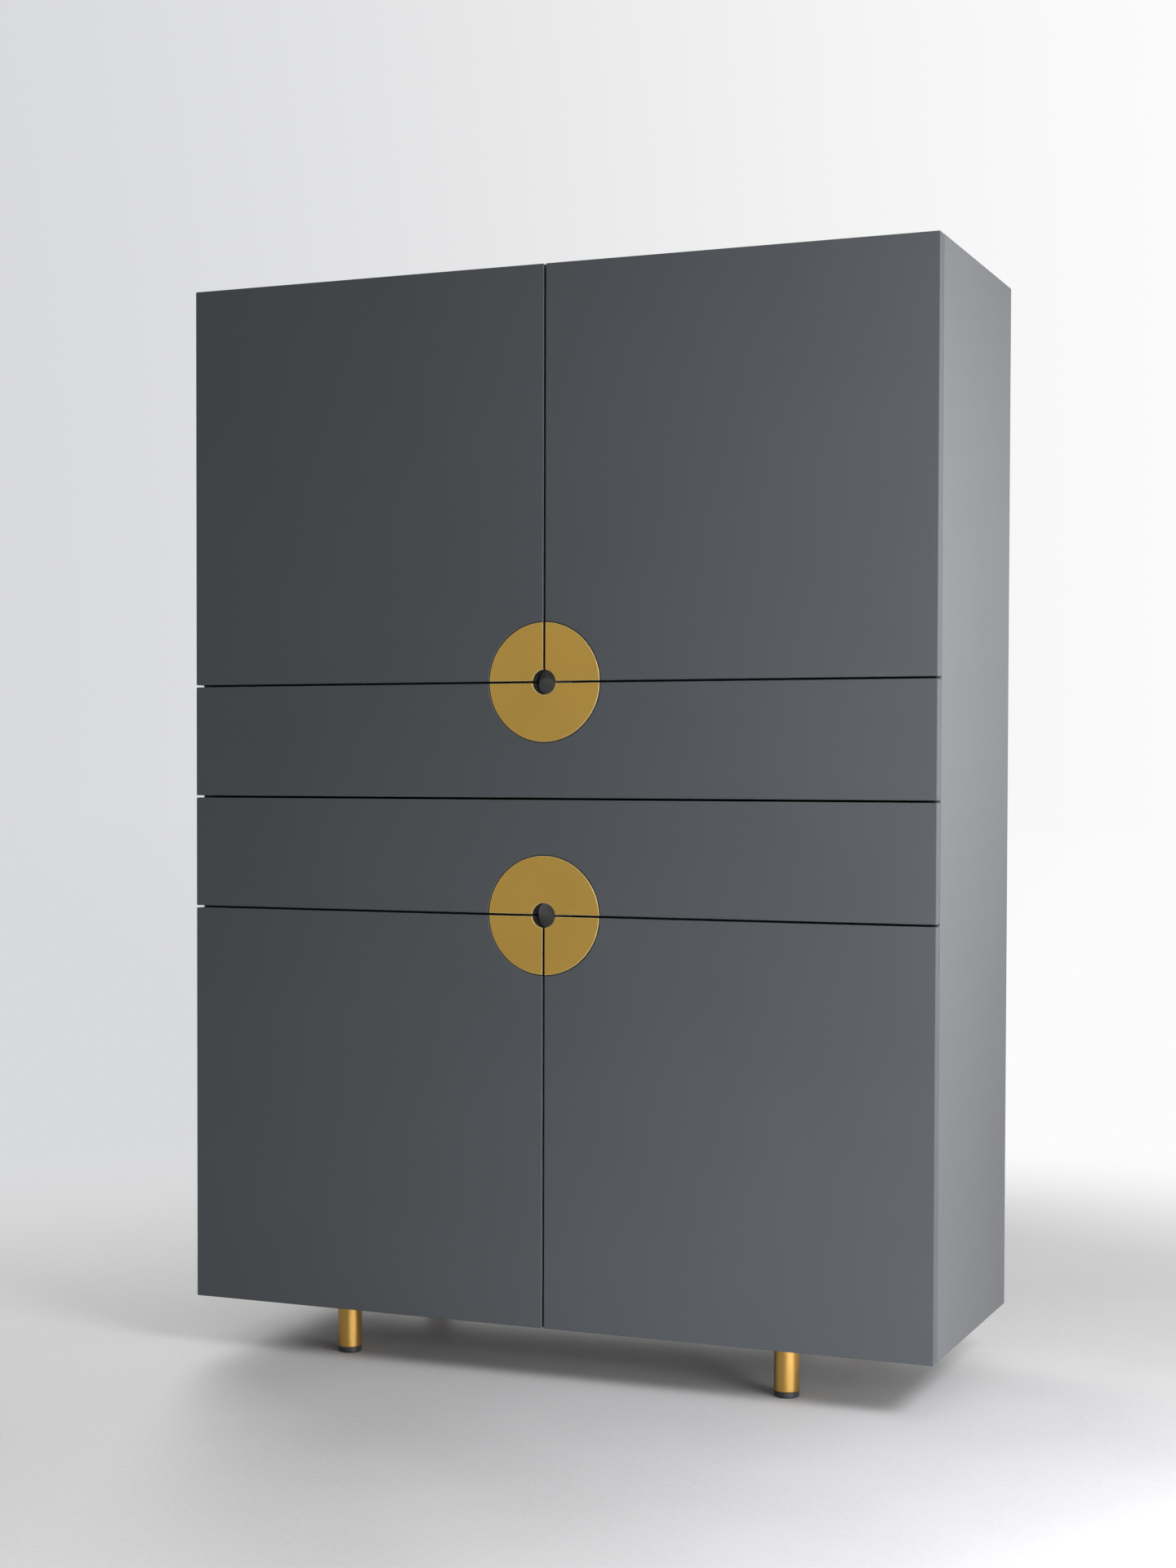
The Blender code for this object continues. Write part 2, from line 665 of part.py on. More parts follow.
def drawers():
    """Two drawers: front, half disc, two grooved sides, back and bottom, on fixed runners."""
    rows = {
        "upper": (MIDDLE_JOINT_Z + HALF_JOINT, UPPER_JOINT_Z - HALF_JOINT, UPPER_JOINT_Z, 2),
        "lower": (LOWER_JOINT_Z + HALF_JOINT, MIDDLE_JOINT_Z - HALF_JOINT, LOWER_JOINT_Z, 0),
    }
    rise = HALF_JOINT + DRAWER_BOX_RISE
    for row, (low, high, joint, first_quarter) in rows.items():
        if row == "upper":
            box_low = MIDDLE_JOINT_Z + rise
        else:
            box_low = MIDDLE_JOINT_Z - rise - DRAWER_BOX_HEIGHT
        carrier = joint_empty(f"{row}_drawer_axis", (0, FRONT_BACK_Y, (low + high) / 2))
        front = box(
            f"drawer_front_{row}",
            (-HALF_WIDTH, FRONT_Y, low),
            (HALF_WIDTH, FRONT_BACK_Y, high),
            LACQUER,
            FRONT_EDGE_ROUND,
        )
        cut_disc_pocket(front, joint)
        carry(front, carrier)
        disc_piece(f"disc_{row}_drawer", joint, first_quarter, 2, carrier)
        runner_middle = box_low + DRAWER_BOX_HEIGHT / 2
        for side_name, side in SIDES.items():
            carry(drawer_side(f"drawer_side_{row}_{side_name}", side, box_low, runner_middle), carrier)
            xs = sorted((side * (INNER_HALF_WIDTH - SEAT_GAP), side * (DRAWER_OUTER_X - RUNNER_LAP)))
            box(
                f"runner_{row}_{side_name}",
                (xs[0], CARCASS_Y + RUNNER_SETBACK, runner_middle - RUNNER_HEIGHT / 2),
                (xs[1], RUNNER_REAR_Y, runner_middle + RUNNER_HEIGHT / 2),
                BEECH,
            )
        inner = DRAWER_INNER_X - SEAT_GAP
        bottom_low = box_low + DRAWER_BOTTOM_RISE
        bottom_high = bottom_low + DRAWER_BOTTOM_THICKNESS
        rear = DRAWER_BOX_REAR_Y
        bottom_front = DRAWER_BOX_FRONT_Y
        bottom = box(
            f"drawer_bottom_{row}",
            (-inner, bottom_front, bottom_low),
            (inner, rear, bottom_high),
            BOX_BOARD,
        )
        carry(bottom, carrier)
        back = box(
            f"drawer_back_{row}",
            (-inner, rear - DRAWER_BACK_THICKNESS, bottom_high + SEAT_GAP),
            (inner, rear, box_low + DRAWER_BOX_HEIGHT),
            BOX_BOARD,
        )
        carry(back, carrier)


def drawer_side(name, side, low, runner_middle):
    """A drawer side, with a groove along its outer face for the runner."""
    xs = sorted((side * DRAWER_INNER_X, side * DRAWER_OUTER_X))
    front = DRAWER_BOX_FRONT_Y
    rear = DRAWER_BOX_REAR_Y
    board = box(name, (xs[0], front, low), (xs[1], rear, low + DRAWER_BOX_HEIGHT), BOX_BOARD)
    floor = DRAWER_OUTER_X - RUNNER_LAP - RUNNER_SIDE_PLAY
    groove_xs = sorted((side * floor, side * (DRAWER_OUTER_X + CUT_OVERRUN)))
    half = RUNNER_HEIGHT / 2 + RUNNER_HEIGHT_PLAY
    groove = box(
        f"{name}_groove",
        (groove_xs[0], front - CUT_OVERRUN, runner_middle - half),
        (groove_xs[1], rear + CUT_OVERRUN, runner_middle + half),
        helper=True,
    )
    return combine(board, groove, "DIFFERENCE")


clear_scene()
PARTS = new_collection("highboard")
CUTTERS = new_collection("cutters")
LACQUER = new_material("anthracite_lacquer", (0.056, 0.062, 0.068), 0.55)
CUP_PAINT = new_material("cup_paint", (0.060, 0.066, 0.072), 0.6)
BRASS = new_material("satin_brass", (0.40, 0.24, 0.07), 0.38, 1.0)
GLIDE_PLASTIC = new_material("glide_plastic", (0.012, 0.012, 0.014), 0.5)
STEEL = new_material("nickel_plate", (0.55, 0.55, 0.54), 0.3, 1.0)
BEECH = new_material("runner_beech", (0.42, 0.26, 0.13), 0.5)
BOX_BOARD = new_material("drawer_board", (0.16, 0.17, 0.18), 0.6)
HINGE_CUP_MESHES = {side: hinge_cup_mesh(side) for side in SIDES.values()}
HINGE_ARM_MESHES = {side: hinge_arm_mesh(side) for side in SIDES.values()}
carcass()
legs()
finger_cups()
doors()
drawers()
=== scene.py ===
"""Looks of a free-standing highboard: lacquered fronts, inlaid brass discs, brass legs, inside.

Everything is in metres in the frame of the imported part: +X to the right, the fronts face -Y, +Z up.
Each sub-assembly is a class that holds its sizes, builds its surfaces with numpy and dresses them.
"""

import json
import logging
import math
from dataclasses import dataclass
from enum import Enum
from typing import ClassVar, Sequence

import bmesh
import bpy
import numpy as np
from mathutils import Matrix, Vector


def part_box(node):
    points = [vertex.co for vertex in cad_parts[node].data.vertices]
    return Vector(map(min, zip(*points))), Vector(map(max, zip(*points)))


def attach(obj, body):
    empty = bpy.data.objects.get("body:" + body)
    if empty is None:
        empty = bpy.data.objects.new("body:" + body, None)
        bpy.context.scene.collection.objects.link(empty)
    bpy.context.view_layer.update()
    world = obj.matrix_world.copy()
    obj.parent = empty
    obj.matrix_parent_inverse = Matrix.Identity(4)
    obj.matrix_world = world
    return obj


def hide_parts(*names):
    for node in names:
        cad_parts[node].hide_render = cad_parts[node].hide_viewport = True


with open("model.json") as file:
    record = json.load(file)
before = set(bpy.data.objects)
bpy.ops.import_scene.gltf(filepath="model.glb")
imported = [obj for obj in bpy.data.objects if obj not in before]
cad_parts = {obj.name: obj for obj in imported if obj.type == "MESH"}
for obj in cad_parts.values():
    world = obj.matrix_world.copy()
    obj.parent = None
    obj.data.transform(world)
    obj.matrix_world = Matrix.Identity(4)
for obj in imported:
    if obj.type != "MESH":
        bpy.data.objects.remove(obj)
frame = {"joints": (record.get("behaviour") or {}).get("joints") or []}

LOG = logging.getLogger("highboard")
MERGE = 1e-6
Array = np.ndarray
Shape = bmesh.types.BMesh
Box = tuple[Vector, Vector]
Socket = bpy.types.NodeSocket
Look = tuple[Socket, Socket, Socket]
Pair = tuple[float, float]
Triple = tuple[float, float, float]
Axes = tuple[Triple, Triple, Triple]
INWARDS: Axes = ((0, 1, 0), (0, 0, 1), (1, 0, 0))


class Place(Enum):
    """A choice of places whose names are parts of the nodes' names."""

    @property
    def word(self) -> str:
        """The place's name in small letters."""
        return self.name.lower()


class Side(Place):
    """The two halves of the body, seen from the front; the value is the sign of X."""

    LEFT = -1
    RIGHT = 1


class Row(Place):
    """The two rows of doors, each with a drawer next to it; the value is the sign of Z."""

    UPPER = 1
    LOWER = -1

    @property
    def level(self) -> float:
        """The height of the joint between the row's doors and its drawer, where its disc sits."""
        door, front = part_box(f"door_{self.word}_left"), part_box(f"drawer_front_{self.word}")
        return (door[0].z + front[1].z if self is Row.UPPER else door[1].z + front[0].z) / 2


# Outlines: closed loops of points in a plane, run anticlockwise


def arc(centre: Sequence[float], radius: float, start: float, end: float, steps: int) -> Array:
    """Points on a circle: centre plus radius times (cosine, sine) of steps + 1 even angles."""
    turn = np.linspace(start, end, steps + 1)
    return np.asarray(centre) + radius * np.stack([np.cos(turn), np.sin(turn)], axis=1)


def circle(radius: float, steps: int) -> Array:
    """Points on a full circle: radius times (cosine, sine) of as many even angles as steps."""
    turn = np.arange(steps) * (2 * math.pi / steps)
    return radius * np.stack([np.cos(turn), np.sin(turn)], axis=1)


def inset_outline(points: Array, inset: float) -> Array:
    """Moves a loop inwards by mitring: each point goes along the sum of its two edges' inward
    normals, divided by one plus their dot product.

    Args:
        points: The loop, anticlockwise.
        inset: How far each edge moves in, in metres.

    Returns:
        The moved loop, with as many points.
    """
    after = np.roll(points, -1, axis=0) - points
    after /= np.linalg.norm(after, axis=1, keepdims=True)
    normal = np.stack([-after[:, 1], after[:, 0]], axis=1)
    before = np.roll(normal, 1, axis=0)
    share = 1 + (normal * before).sum(axis=1, keepdims=True)
    return points + inset * (normal + before) / share


def round_corners(corners: Array, radius: float, steps: int = 3) -> Array:
    """Replaces each corner by an arc that touches both of its edges. The arc's centre lies one
    radius inside the turn, and its points are the incoming normal turned in even steps.

    Args:
        corners: The loop's corners, anticlockwise.
        radius: The arcs' radius in metres.
        steps: Chords to an arc.

    Returns:
        The loop of all the arcs' points.
    """
    corners = np.asarray(corners, float)
    into = corners - np.roll(corners, 1, axis=0)
    into /= np.linalg.norm(into, axis=1, keepdims=True)
    out = np.roll(into, -1, axis=0)
    cross = into[:, 0] * out[:, 1] - into[:, 1] * out[:, 0]
    turn = np.arctan2(cross, (into * out).sum(axis=1))
    sign = np.sign(turn)[:, None]
    reach = radius * np.tan(np.abs(turn) / 2)[:, None]
    normal = np.stack([-into[:, 1], into[:, 0]], axis=1)
    centre = corners - reach * into + sign * radius * normal
    angle = turn[:, None] * np.linspace(0, 1, steps + 1)
    cosine, sine = np.cos(angle), np.sin(angle)
    first, second = normal[:, :1], normal[:, 1:]
    spun = np.stack([first * cosine - second * sine, first * sine + second * cosine], axis=2)
    return (centre[:, None] - sign[:, None] * radius * spun).reshape(-1, 2)


def rectangle(width: float, height: float) -> Array:
    """The four corners of a rectangle centred on the origin, anticlockwise."""
    half = np.array([width, height]) / 2
    return np.array([[-1, -1], [1, -1], [1, 1], [-1, 1]]) * half


def edge_levels(thickness: float, edge: float, steps: int = 3) -> Array:
    """How a plate's wall runs from one face to the other: quarter circles of the edge radius at
    both faces, given as pairs of depth and inset.

    Args:
        thickness: The plate's thickness in metres.
        edge: The radius of its edges.
        steps: Chords to a quarter circle.

    Returns:
        An array of (depth, inset) rows from the first face to the second.
    """
    turn = np.linspace(0, math.pi / 2, steps + 1)
    front = edge * np.stack([1 - np.cos(turn), 1 - np.sin(turn)], axis=1)
    back = front[::-1] * [-1, 1] + [thickness, 0]
    return np.concatenate([front, back])


def at_depth(loop: Array, depth: float) -> Array:
    """A loop of the plane at a depth, which is its points' third coordinate."""
    return np.column_stack([loop, np.full(len(loop), depth)])


def rings_of(outline: Array, levels: Array) -> Array:
    """A loop carried through rows of depth and inset: at each depth it is inset as its row says."""
    return np.array([at_depth(inset_outline(outline, inset), depth) for depth, inset in levels])


def bowl(radius: float, wall: float, low: float, high: float, rounding: float,
         steps: tuple[int, int]) -> Array:
    """A bowl's section from the middle of its floor up the inside, over the lip and back down the
    outside: straight walls with quarter circles at the floor and half a circle as the lip.

    Args:
        radius: The bowl's outer radius.
        wall: The thickness of its wall and floor.
        low: The height of its floor's underside.
        high: The height of its lip.
        rounding: The outer radius between floor and wall.
        steps: Chords to a quarter circle and to the lip.

    Returns:
        Rows of radius and height.
    """
    inner, within = radius - wall, rounding - wall
    inside = arc((inner - within, low + wall + within), within, -math.pi / 2, 0, steps[0])
    lip = arc((radius - wall / 2, high - wall / 2), wall / 2, math.pi, 0, steps[1])
    outside = arc((radius - rounding, low + rounding), rounding, 0, -math.pi / 2, steps[0])
    return np.concatenate([[[0, low + wall]], inside, lip, outside, [[0, low]]])


class Surface:
    """Patches of one or more closed surfaces, gathered here and then made one mesh."""

    def __init__(self) -> None:
        """Starts with no patches."""
        self.points: list[Array] = []
        self.faces: list[tuple[int, ...]] = []
        self.count = 0

    def add(self, points: Array, faces: Array) -> None:
        """Adds points with faces that count from the first of them.

        Args:
            points: Rows of three coordinates.
            faces: Rows of point numbers.
        """
        self.points.append(points)
        self.faces.extend(map(tuple, (np.asarray(faces) + self.count).tolist()))
        self.count += len(points)

    def grid(self, rings: Array, closed: bool = True) -> "Surface":
        """Adds the quads between neighbouring rings.

        Args:
            rings: Rows of points, as many in each.
            closed: Whether each row's last point joins its first.

        Returns:
            This surface.
        """
        rows, columns = rings.shape[:2]
        index = np.arange(rows * columns).reshape(rows, columns)
        ahead = np.roll(index, -1, axis=1)
        quads = np.stack([index[:-1], ahead[:-1], ahead[1:], index[1:]], axis=-1)
        if not closed:
            quads = quads[:, :-1]
        self.add(rings.reshape(-1, 3), quads.reshape(-1, 4))
        return self

    def cap(self, ring: Array) -> "Surface":
        """Adds one flat face over a ring of points and gives this surface back."""
        self.add(ring, np.arange(len(ring))[None])
        return self

    def closed_rings(self, rings: Array) -> "Surface":
        """Adds a surface through the rings, with a face over the first and the last."""
        return self.grid(rings).cap(rings[0]).cap(rings[-1])

    def plate(self, outline: Array, thickness: float, edge: float, steps: int = 3) -> "Surface":
        """Adds a plate across the third axis, its edges rounded by a radius at both faces."""
        return self.closed_rings(rings_of(outline, edge_levels(thickness, edge, steps)))

    def turned(self, profile: Array, segments: int) -> "Surface":
        """Adds a surface of revolution: each profile row (radius, height) goes round the third
        axis as radius times (cosine, sine) of evenly spaced angles.

        Args:
            profile: Rows of radius and height. Poles are rows of radius 0.
            segments: How many steps a full turn has.

        Returns:
            This surface.
        """
        rings = np.empty((len(profile), segments, 3))
        rings[..., :2] = profile[:, 0, None, None] * circle(1.0, segments)
        rings[..., 2] = profile[:, 1, None]
        return self.grid(rings)

    def moved(self, matrix: Matrix) -> "Surface":
        """The same surface with its points carried by a matrix.

        Args:
            matrix: A matrix of four rows.

        Returns:
            This surface.
        """
        turn = np.array(matrix, float)
        self.points = [p @ turn[:3, :3].T + turn[:3, 3] for p in self.points]
        return self

    def join(self, other: "Surface") -> "Surface":
        """Adds another surface's patches to this one.

        Args:
            other: The surface that is added.

        Returns:
            This surface.
        """
        ahead = self.count
        self.points.extend(other.points)
        self.faces.extend(tuple(number + ahead for number in face) for face in other.faces)
        self.count += other.count
        return self

    def shape(self) -> Shape:
        """The patches as one mesh: doubles merged, faces turned outwards.

        Returns:
            The mesh, which the caller frees.
        """
        mesh = bpy.data.meshes.new("patches")
        mesh.from_pydata(np.concatenate(self.points).tolist(), [], self.faces)
        shape = bmesh.new()
        shape.from_mesh(mesh)
        bpy.data.meshes.remove(mesh)
        bmesh.ops.remove_doubles(shape, verts=shape.verts, dist=MERGE)
        bmesh.ops.recalc_face_normals(shape, faces=shape.faces)
        return shape


def axes_matrix(origin: Sequence[float], first: Sequence[float], second: Sequence[float],
                third: Sequence[float]) -> Matrix:
    """The matrix that lays a surface's own axes along three directions from an origin.

    Args:
        origin: Where the surface's origin goes.
        first: The direction of its first axis.
        second: The direction of its second axis.
        third: The direction of its third axis.

    Returns:
        A matrix of four rows.
    """
    matrix = Matrix.Identity(4)
    for column, axis in enumerate((first, second, third)):
        matrix.col[column].xyz = axis
    matrix.translation = origin
    return matrix


def facing(place: Sequence[float], across: int = 1, up: int = 1) -> Matrix:
    """The matrix that stands a plane up at a place, its depth along +Y, its X and Z by sign."""
    return axes_matrix(place, (across, 0, 0), (0, 0, up), (0, 1, 0))


def stand(shape: Shape, matrix: Matrix) -> None:
    """Carries a mesh by a matrix and turns its faces outwards again."""
    bmesh.ops.transform(shape, matrix=matrix, verts=shape.verts)
    bmesh.ops.recalc_face_normals(shape, faces=shape.faces)


class Workshop:
    """Makes finished pieces: a mesh object at the origin, dressed, riding on its body."""

    made: ClassVar[list[str]] = []

    @classmethod
    def piece(cls, name: str, surface: Surface | Shape, finish: "Finish",
              body: str = "root", node: str | None = None, sharp: float = 40.0) -> None:
        """Turns a surface into a piece of the object.

        Args:
            name: The piece's name.
            surface: Its patches, or a mesh that is closed already.
            finish: What it is dressed with.
            body: The moving body that it rides on.
            node: The solid that it stands for, where there is one.
            sharp: Edges that turn more than this many degrees stay sharp.
        """
        shape = surface.shape() if isinstance(surface, Surface) else surface
        mesh = bpy.data.meshes.new(name)
        shape.to_mesh(mesh)
        shape.free()
        mesh.shade_smooth()
        mesh.set_sharp_from_angle(angle=math.radians(sharp))
        mesh.materials.append(finish.material())
        obj = bpy.data.objects.new(name, mesh)
        bpy.context.scene.collection.objects.link(obj)
        weighted = obj.modifiers.new("flat_faces", "WEIGHTED_NORMAL")
        weighted.keep_sharp = True
        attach(obj, body)
        if node:
            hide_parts(node)
        cls.made.append(name)
        LOG.info("%s rides on %s", name, body)


# Finishes


class Tree:
    """Short hand for a node tree: adds nodes, sets their inputs and links them."""

    def __init__(self, tree: bpy.types.NodeTree) -> None:
        """Holds the node tree of a material, a world or a group."""
        self.tree = tree

    def node(self, kind: str, inputs: dict | None = None, **settings: object) -> bpy.types.Node:
        """Adds a node.

        Args:
            kind: The node's type name.
            inputs: Values or output sockets for its inputs, by name or number.
            **settings: Its properties.

        Returns:
            The node.
        """
        node = self.tree.nodes.new(kind)
        for name, value in settings.items():
            setattr(node, name, value)
        for name, value in (inputs or {}).items():
            self.feed(node.inputs[name], value)
        return node

    def feed(self, target: Socket, value: object) -> None:
        """Gives an input socket a value, or a link where the value is an output socket.

        Args:
            target: The input socket.
            value: A number, vector, colour or output socket.
        """
        if isinstance(value, Socket):
            self.tree.links.new(value, target)
        else:
            target.default_value = value

    def math(self, operation: str, *values: object, clamp: bool = False) -> Socket:
        """A Math node's result from numbers or sockets, kept between 0 and 1 if clamp says so."""
        return self.node("ShaderNodeMath", dict(enumerate(values)), operation=operation,
                         use_clamp=clamp).outputs[0]

    def blend(self, share: object, first: object, second: object) -> Socket:
        """A colour between two; the share says how much of the second shows."""
        inputs = {0: share, 6: first, 7: second}
        return self.node("ShaderNodeMix", inputs, data_type="RGBA").outputs[2]

    def noise(self, place: object, scale: object, detail: float, roughness: float) -> Socket:
        """A noise from 0 to 1 over a place, with a scale, a number of octaves and a roughness."""
        inputs = {"Vector": place, "Scale": scale, "Detail": detail, "Roughness": roughness}
        return self.node("ShaderNodeTexNoise", inputs).outputs[0]

    def painted(self, name: str) -> Socket:
        """The value that a mesh's faces carry under a name, and 0 where they carry none."""
        return self.node("ShaderNodeAttribute", attribute_name=name).outputs["Fac"]

    def span(self, value: object, low: float, high: float, start: float = 0.0,
             end: float = 1.0) -> Socket:
        """A value from start to end laid out over low to high, and kept there."""
        inputs = {0: value, 1: start, 2: end, 3: low, 4: high}
        return self.node("ShaderNodeMapRange", inputs).outputs[0]

    def smooth(self, value: object, ends: Pair, kind: str) -> Socket:
        """From 0 at the first end to 1 at the second along a smooth curve of a kind."""
        inputs = {0: value, 1: ends[0], 2: ends[1]}
        return self.node("ShaderNodeMapRange", inputs, interpolation_type=kind).outputs[0]


class Effect:
    """A shared effect: a node group of a place and named numbers, built once.

    A noise's detail is given as its octaves and their roughness.
    """

    name = ""
    inputs: dict[str, float] = {}
    outputs: tuple[str, ...] = ()

    @classmethod
    def group(cls) -> bpy.types.NodeTree:
        """The group, built when it is first asked for.

        Returns:
            The node group.
        """
        found = bpy.data.node_groups.get(cls.name)
        if found:
            return found
        tree = bpy.data.node_groups.new(cls.name, "ShaderNodeTree")
        number = "NodeSocketFloat"
        tree.interface.new_socket("Place", in_out="INPUT", socket_type="NodeSocketVector")
        for name, value in cls.inputs.items():
            socket = tree.interface.new_socket(name, in_out="INPUT", socket_type=number)
            socket.default_value = value
        for name in cls.outputs:
            tree.interface.new_socket(name, in_out="OUTPUT", socket_type=number)
        made = Tree(tree)
        start = made.node("NodeGroupInput").outputs
        end = made.node("NodeGroupOutput")
        for name, socket in cls.fill(made, start).items():
            tree.links.new(socket, end.inputs[name])
        return tree

    @classmethod
    def fill(cls, tree: Tree, given: bpy.types.NodeOutputs) -> dict[str, Socket]:
        """Builds the inside from the given inputs and says what each output shows, by name."""
        raise NotImplementedError

    @classmethod
    def use(cls, tree: Tree, **values: object) -> bpy.types.NodeOutputs:
        """Places the group, sets its inputs by their names in small letters, gives its outputs."""
        inputs = {name.capitalize(): value for name, value in values.items()}
        return tree.node("ShaderNodeGroup", inputs, node_tree=cls.group()).outputs


class SprayedSkin(Effect):
    """The skin of a sprayed or blasted surface: fine grain for relief, slow drift for tone."""

    name = "sprayed_skin"
    inputs = {"Grain": 900.0, "Drift": 3.0}
    outputs = ("Height", "Tone", "Fleck")
    fine, coarse, slow = (2.0, 0.6), (1.0, 0.5), (3.0, 0.55)
    coarse_scale = 0.37
    shares = (0.4, 0.6)
    contrast = (0.3, 0.7)

    @classmethod
    def fill(cls, tree: Tree, given: bpy.types.NodeOutputs) -> dict[str, Socket]:
        """Height is the sum of two noises of unlike scale; tone is a slow noise; fleck a fine one.

        Args:
            tree: The group's tree.
            given: Place, grain scale and drift scale.

        Returns:
            Height, tone and fleck.
        """
        place, grain = given["Place"], given["Grain"]
        fine = tree.noise(place, grain, *cls.fine)
        coarse = tree.noise(place, tree.math("MULTIPLY", grain, cls.coarse_scale), *cls.coarse)
        slow = tree.noise(place, given["Drift"], *cls.slow)
        parts = [tree.math("MULTIPLY", *part) for part in zip((fine, coarse), cls.shares)]
        tone, fleck = (tree.span(noise, 0.0, 1.0, *cls.contrast) for noise in (slow, fine))
        return {"Height": tree.math("ADD", *parts), "Tone": tone, "Fleck": fleck}


class WornEdge(Effect):
    """Where a surface turns a corner, for wear and painted highlights: the rounded normal set against
    the true one.
    """

    name = "worn_edge"
    inputs = {"Width": 0.001, "Breaks": 60.0}
    outputs = ("Mask",)
    samples = 4
    gain = 9.0
    detail = (2.0, 0.5)
    kept = (0.45, 1.0)
    contrast = (0.35, 0.65)

    @classmethod
    def fill(cls, tree: Tree, given: bpy.types.NodeOutputs) -> dict[str, Socket]:
        """Mask is one less the dot product of both normals, stretched and broken by a noise.

        Args:
            tree: The group's tree.
            given: Place, width of the worn band and scale of its breaks.

        Returns:
            The mask.
        """
        bevel = tree.node("ShaderNodeBevel", {"Radius": given["Width"]}, samples=cls.samples)
        normals = {0: bevel.outputs[0], 1: tree.node("ShaderNodeNewGeometry").outputs["Normal"]}
        dot = tree.node("ShaderNodeVectorMath", normals, operation="DOT_PRODUCT").outputs["Value"]
        turn = tree.math("MULTIPLY", tree.math("SUBTRACT", 1.0, dot), cls.gain, clamp=True)
        breaks = tree.noise(given["Place"], given["Breaks"], *cls.detail)
        broken = tree.span(breaks, *cls.kept, *cls.contrast)
        return {"Mask": tree.math("MULTIPLY", turn, broken)}


class BrushedLines(Effect):
    """Fine lines left by brushing or rolling, drawn out along one axis by a stretched place."""

    name = "brushed_lines"
    inputs = {"Lines": 1200.0}
    outputs = ("Height", "Tone")
    detail = (3.0, 0.65)
    contrast = (0.35, 0.65)

    @classmethod
    def fill(cls, tree: Tree, given: bpy.types.NodeOutputs) -> dict[str, Socket]:
        """Height and tone are one noise, the tone with more contrast."""
        fine = tree.noise(given["Place"], given["Lines"], *cls.detail)
        return {"Height": fine, "Tone": tree.span(fine, 0.0, 1.0, *cls.contrast)}


class WoodGrain(Effect):
    """Straight-grained hardwood: bands across the grain, bent by a slow noise, with short pores."""

    name = "wood_grain"
    inputs = {"Bands": 90.0}
    outputs = ("Band", "Pore")
    bend = {"Distortion": 5.0, "Detail": 3.0, "Detail Scale": 1.5}
    pore_scale = 700.0
    detail = (2.0, 0.5)
    contrast = (0.55, 0.7)

    @classmethod
    def fill(cls, tree: Tree, given: bpy.types.NodeOutputs) -> dict[str, Socket]:
        """Band is a wave along the board's height with noise in it; pores are a stretched noise.

        Args:
            tree: The group's tree.
            given: Place and scale of the bands.

        Returns:
            Band and pore.
        """
        wave = {"Vector": given["Place"], "Scale": given["Bands"], **cls.bend}
        band = tree.node("ShaderNodeTexWave", wave, bands_direction="Z").outputs[1]
        pore = tree.noise(given["Place"], cls.pore_scale, *cls.detail)
        return {"Band": band, "Pore": tree.span(pore, 0.0, 1.0, *cls.contrast)}


class Coat(Tree):
    """A material's tree, with its shader and the object's coordinates."""

    def __init__(self, material: bpy.types.Material) -> None:
        """Finds the shader and adds the coordinates.

        Args:
            material: A material with nodes.
        """
        super().__init__(material.node_tree)
        self.shader = material.node_tree.nodes["Principled BSDF"]
        self.place = self.node("ShaderNodeTexCoord").outputs["Object"]

    def drawn(self, scale: Triple) -> Socket:
        """The object's coordinates, each times its own scale."""
        return self.node("ShaderNodeMapping", {"Vector": self.place, "Scale": scale}).outputs[0]


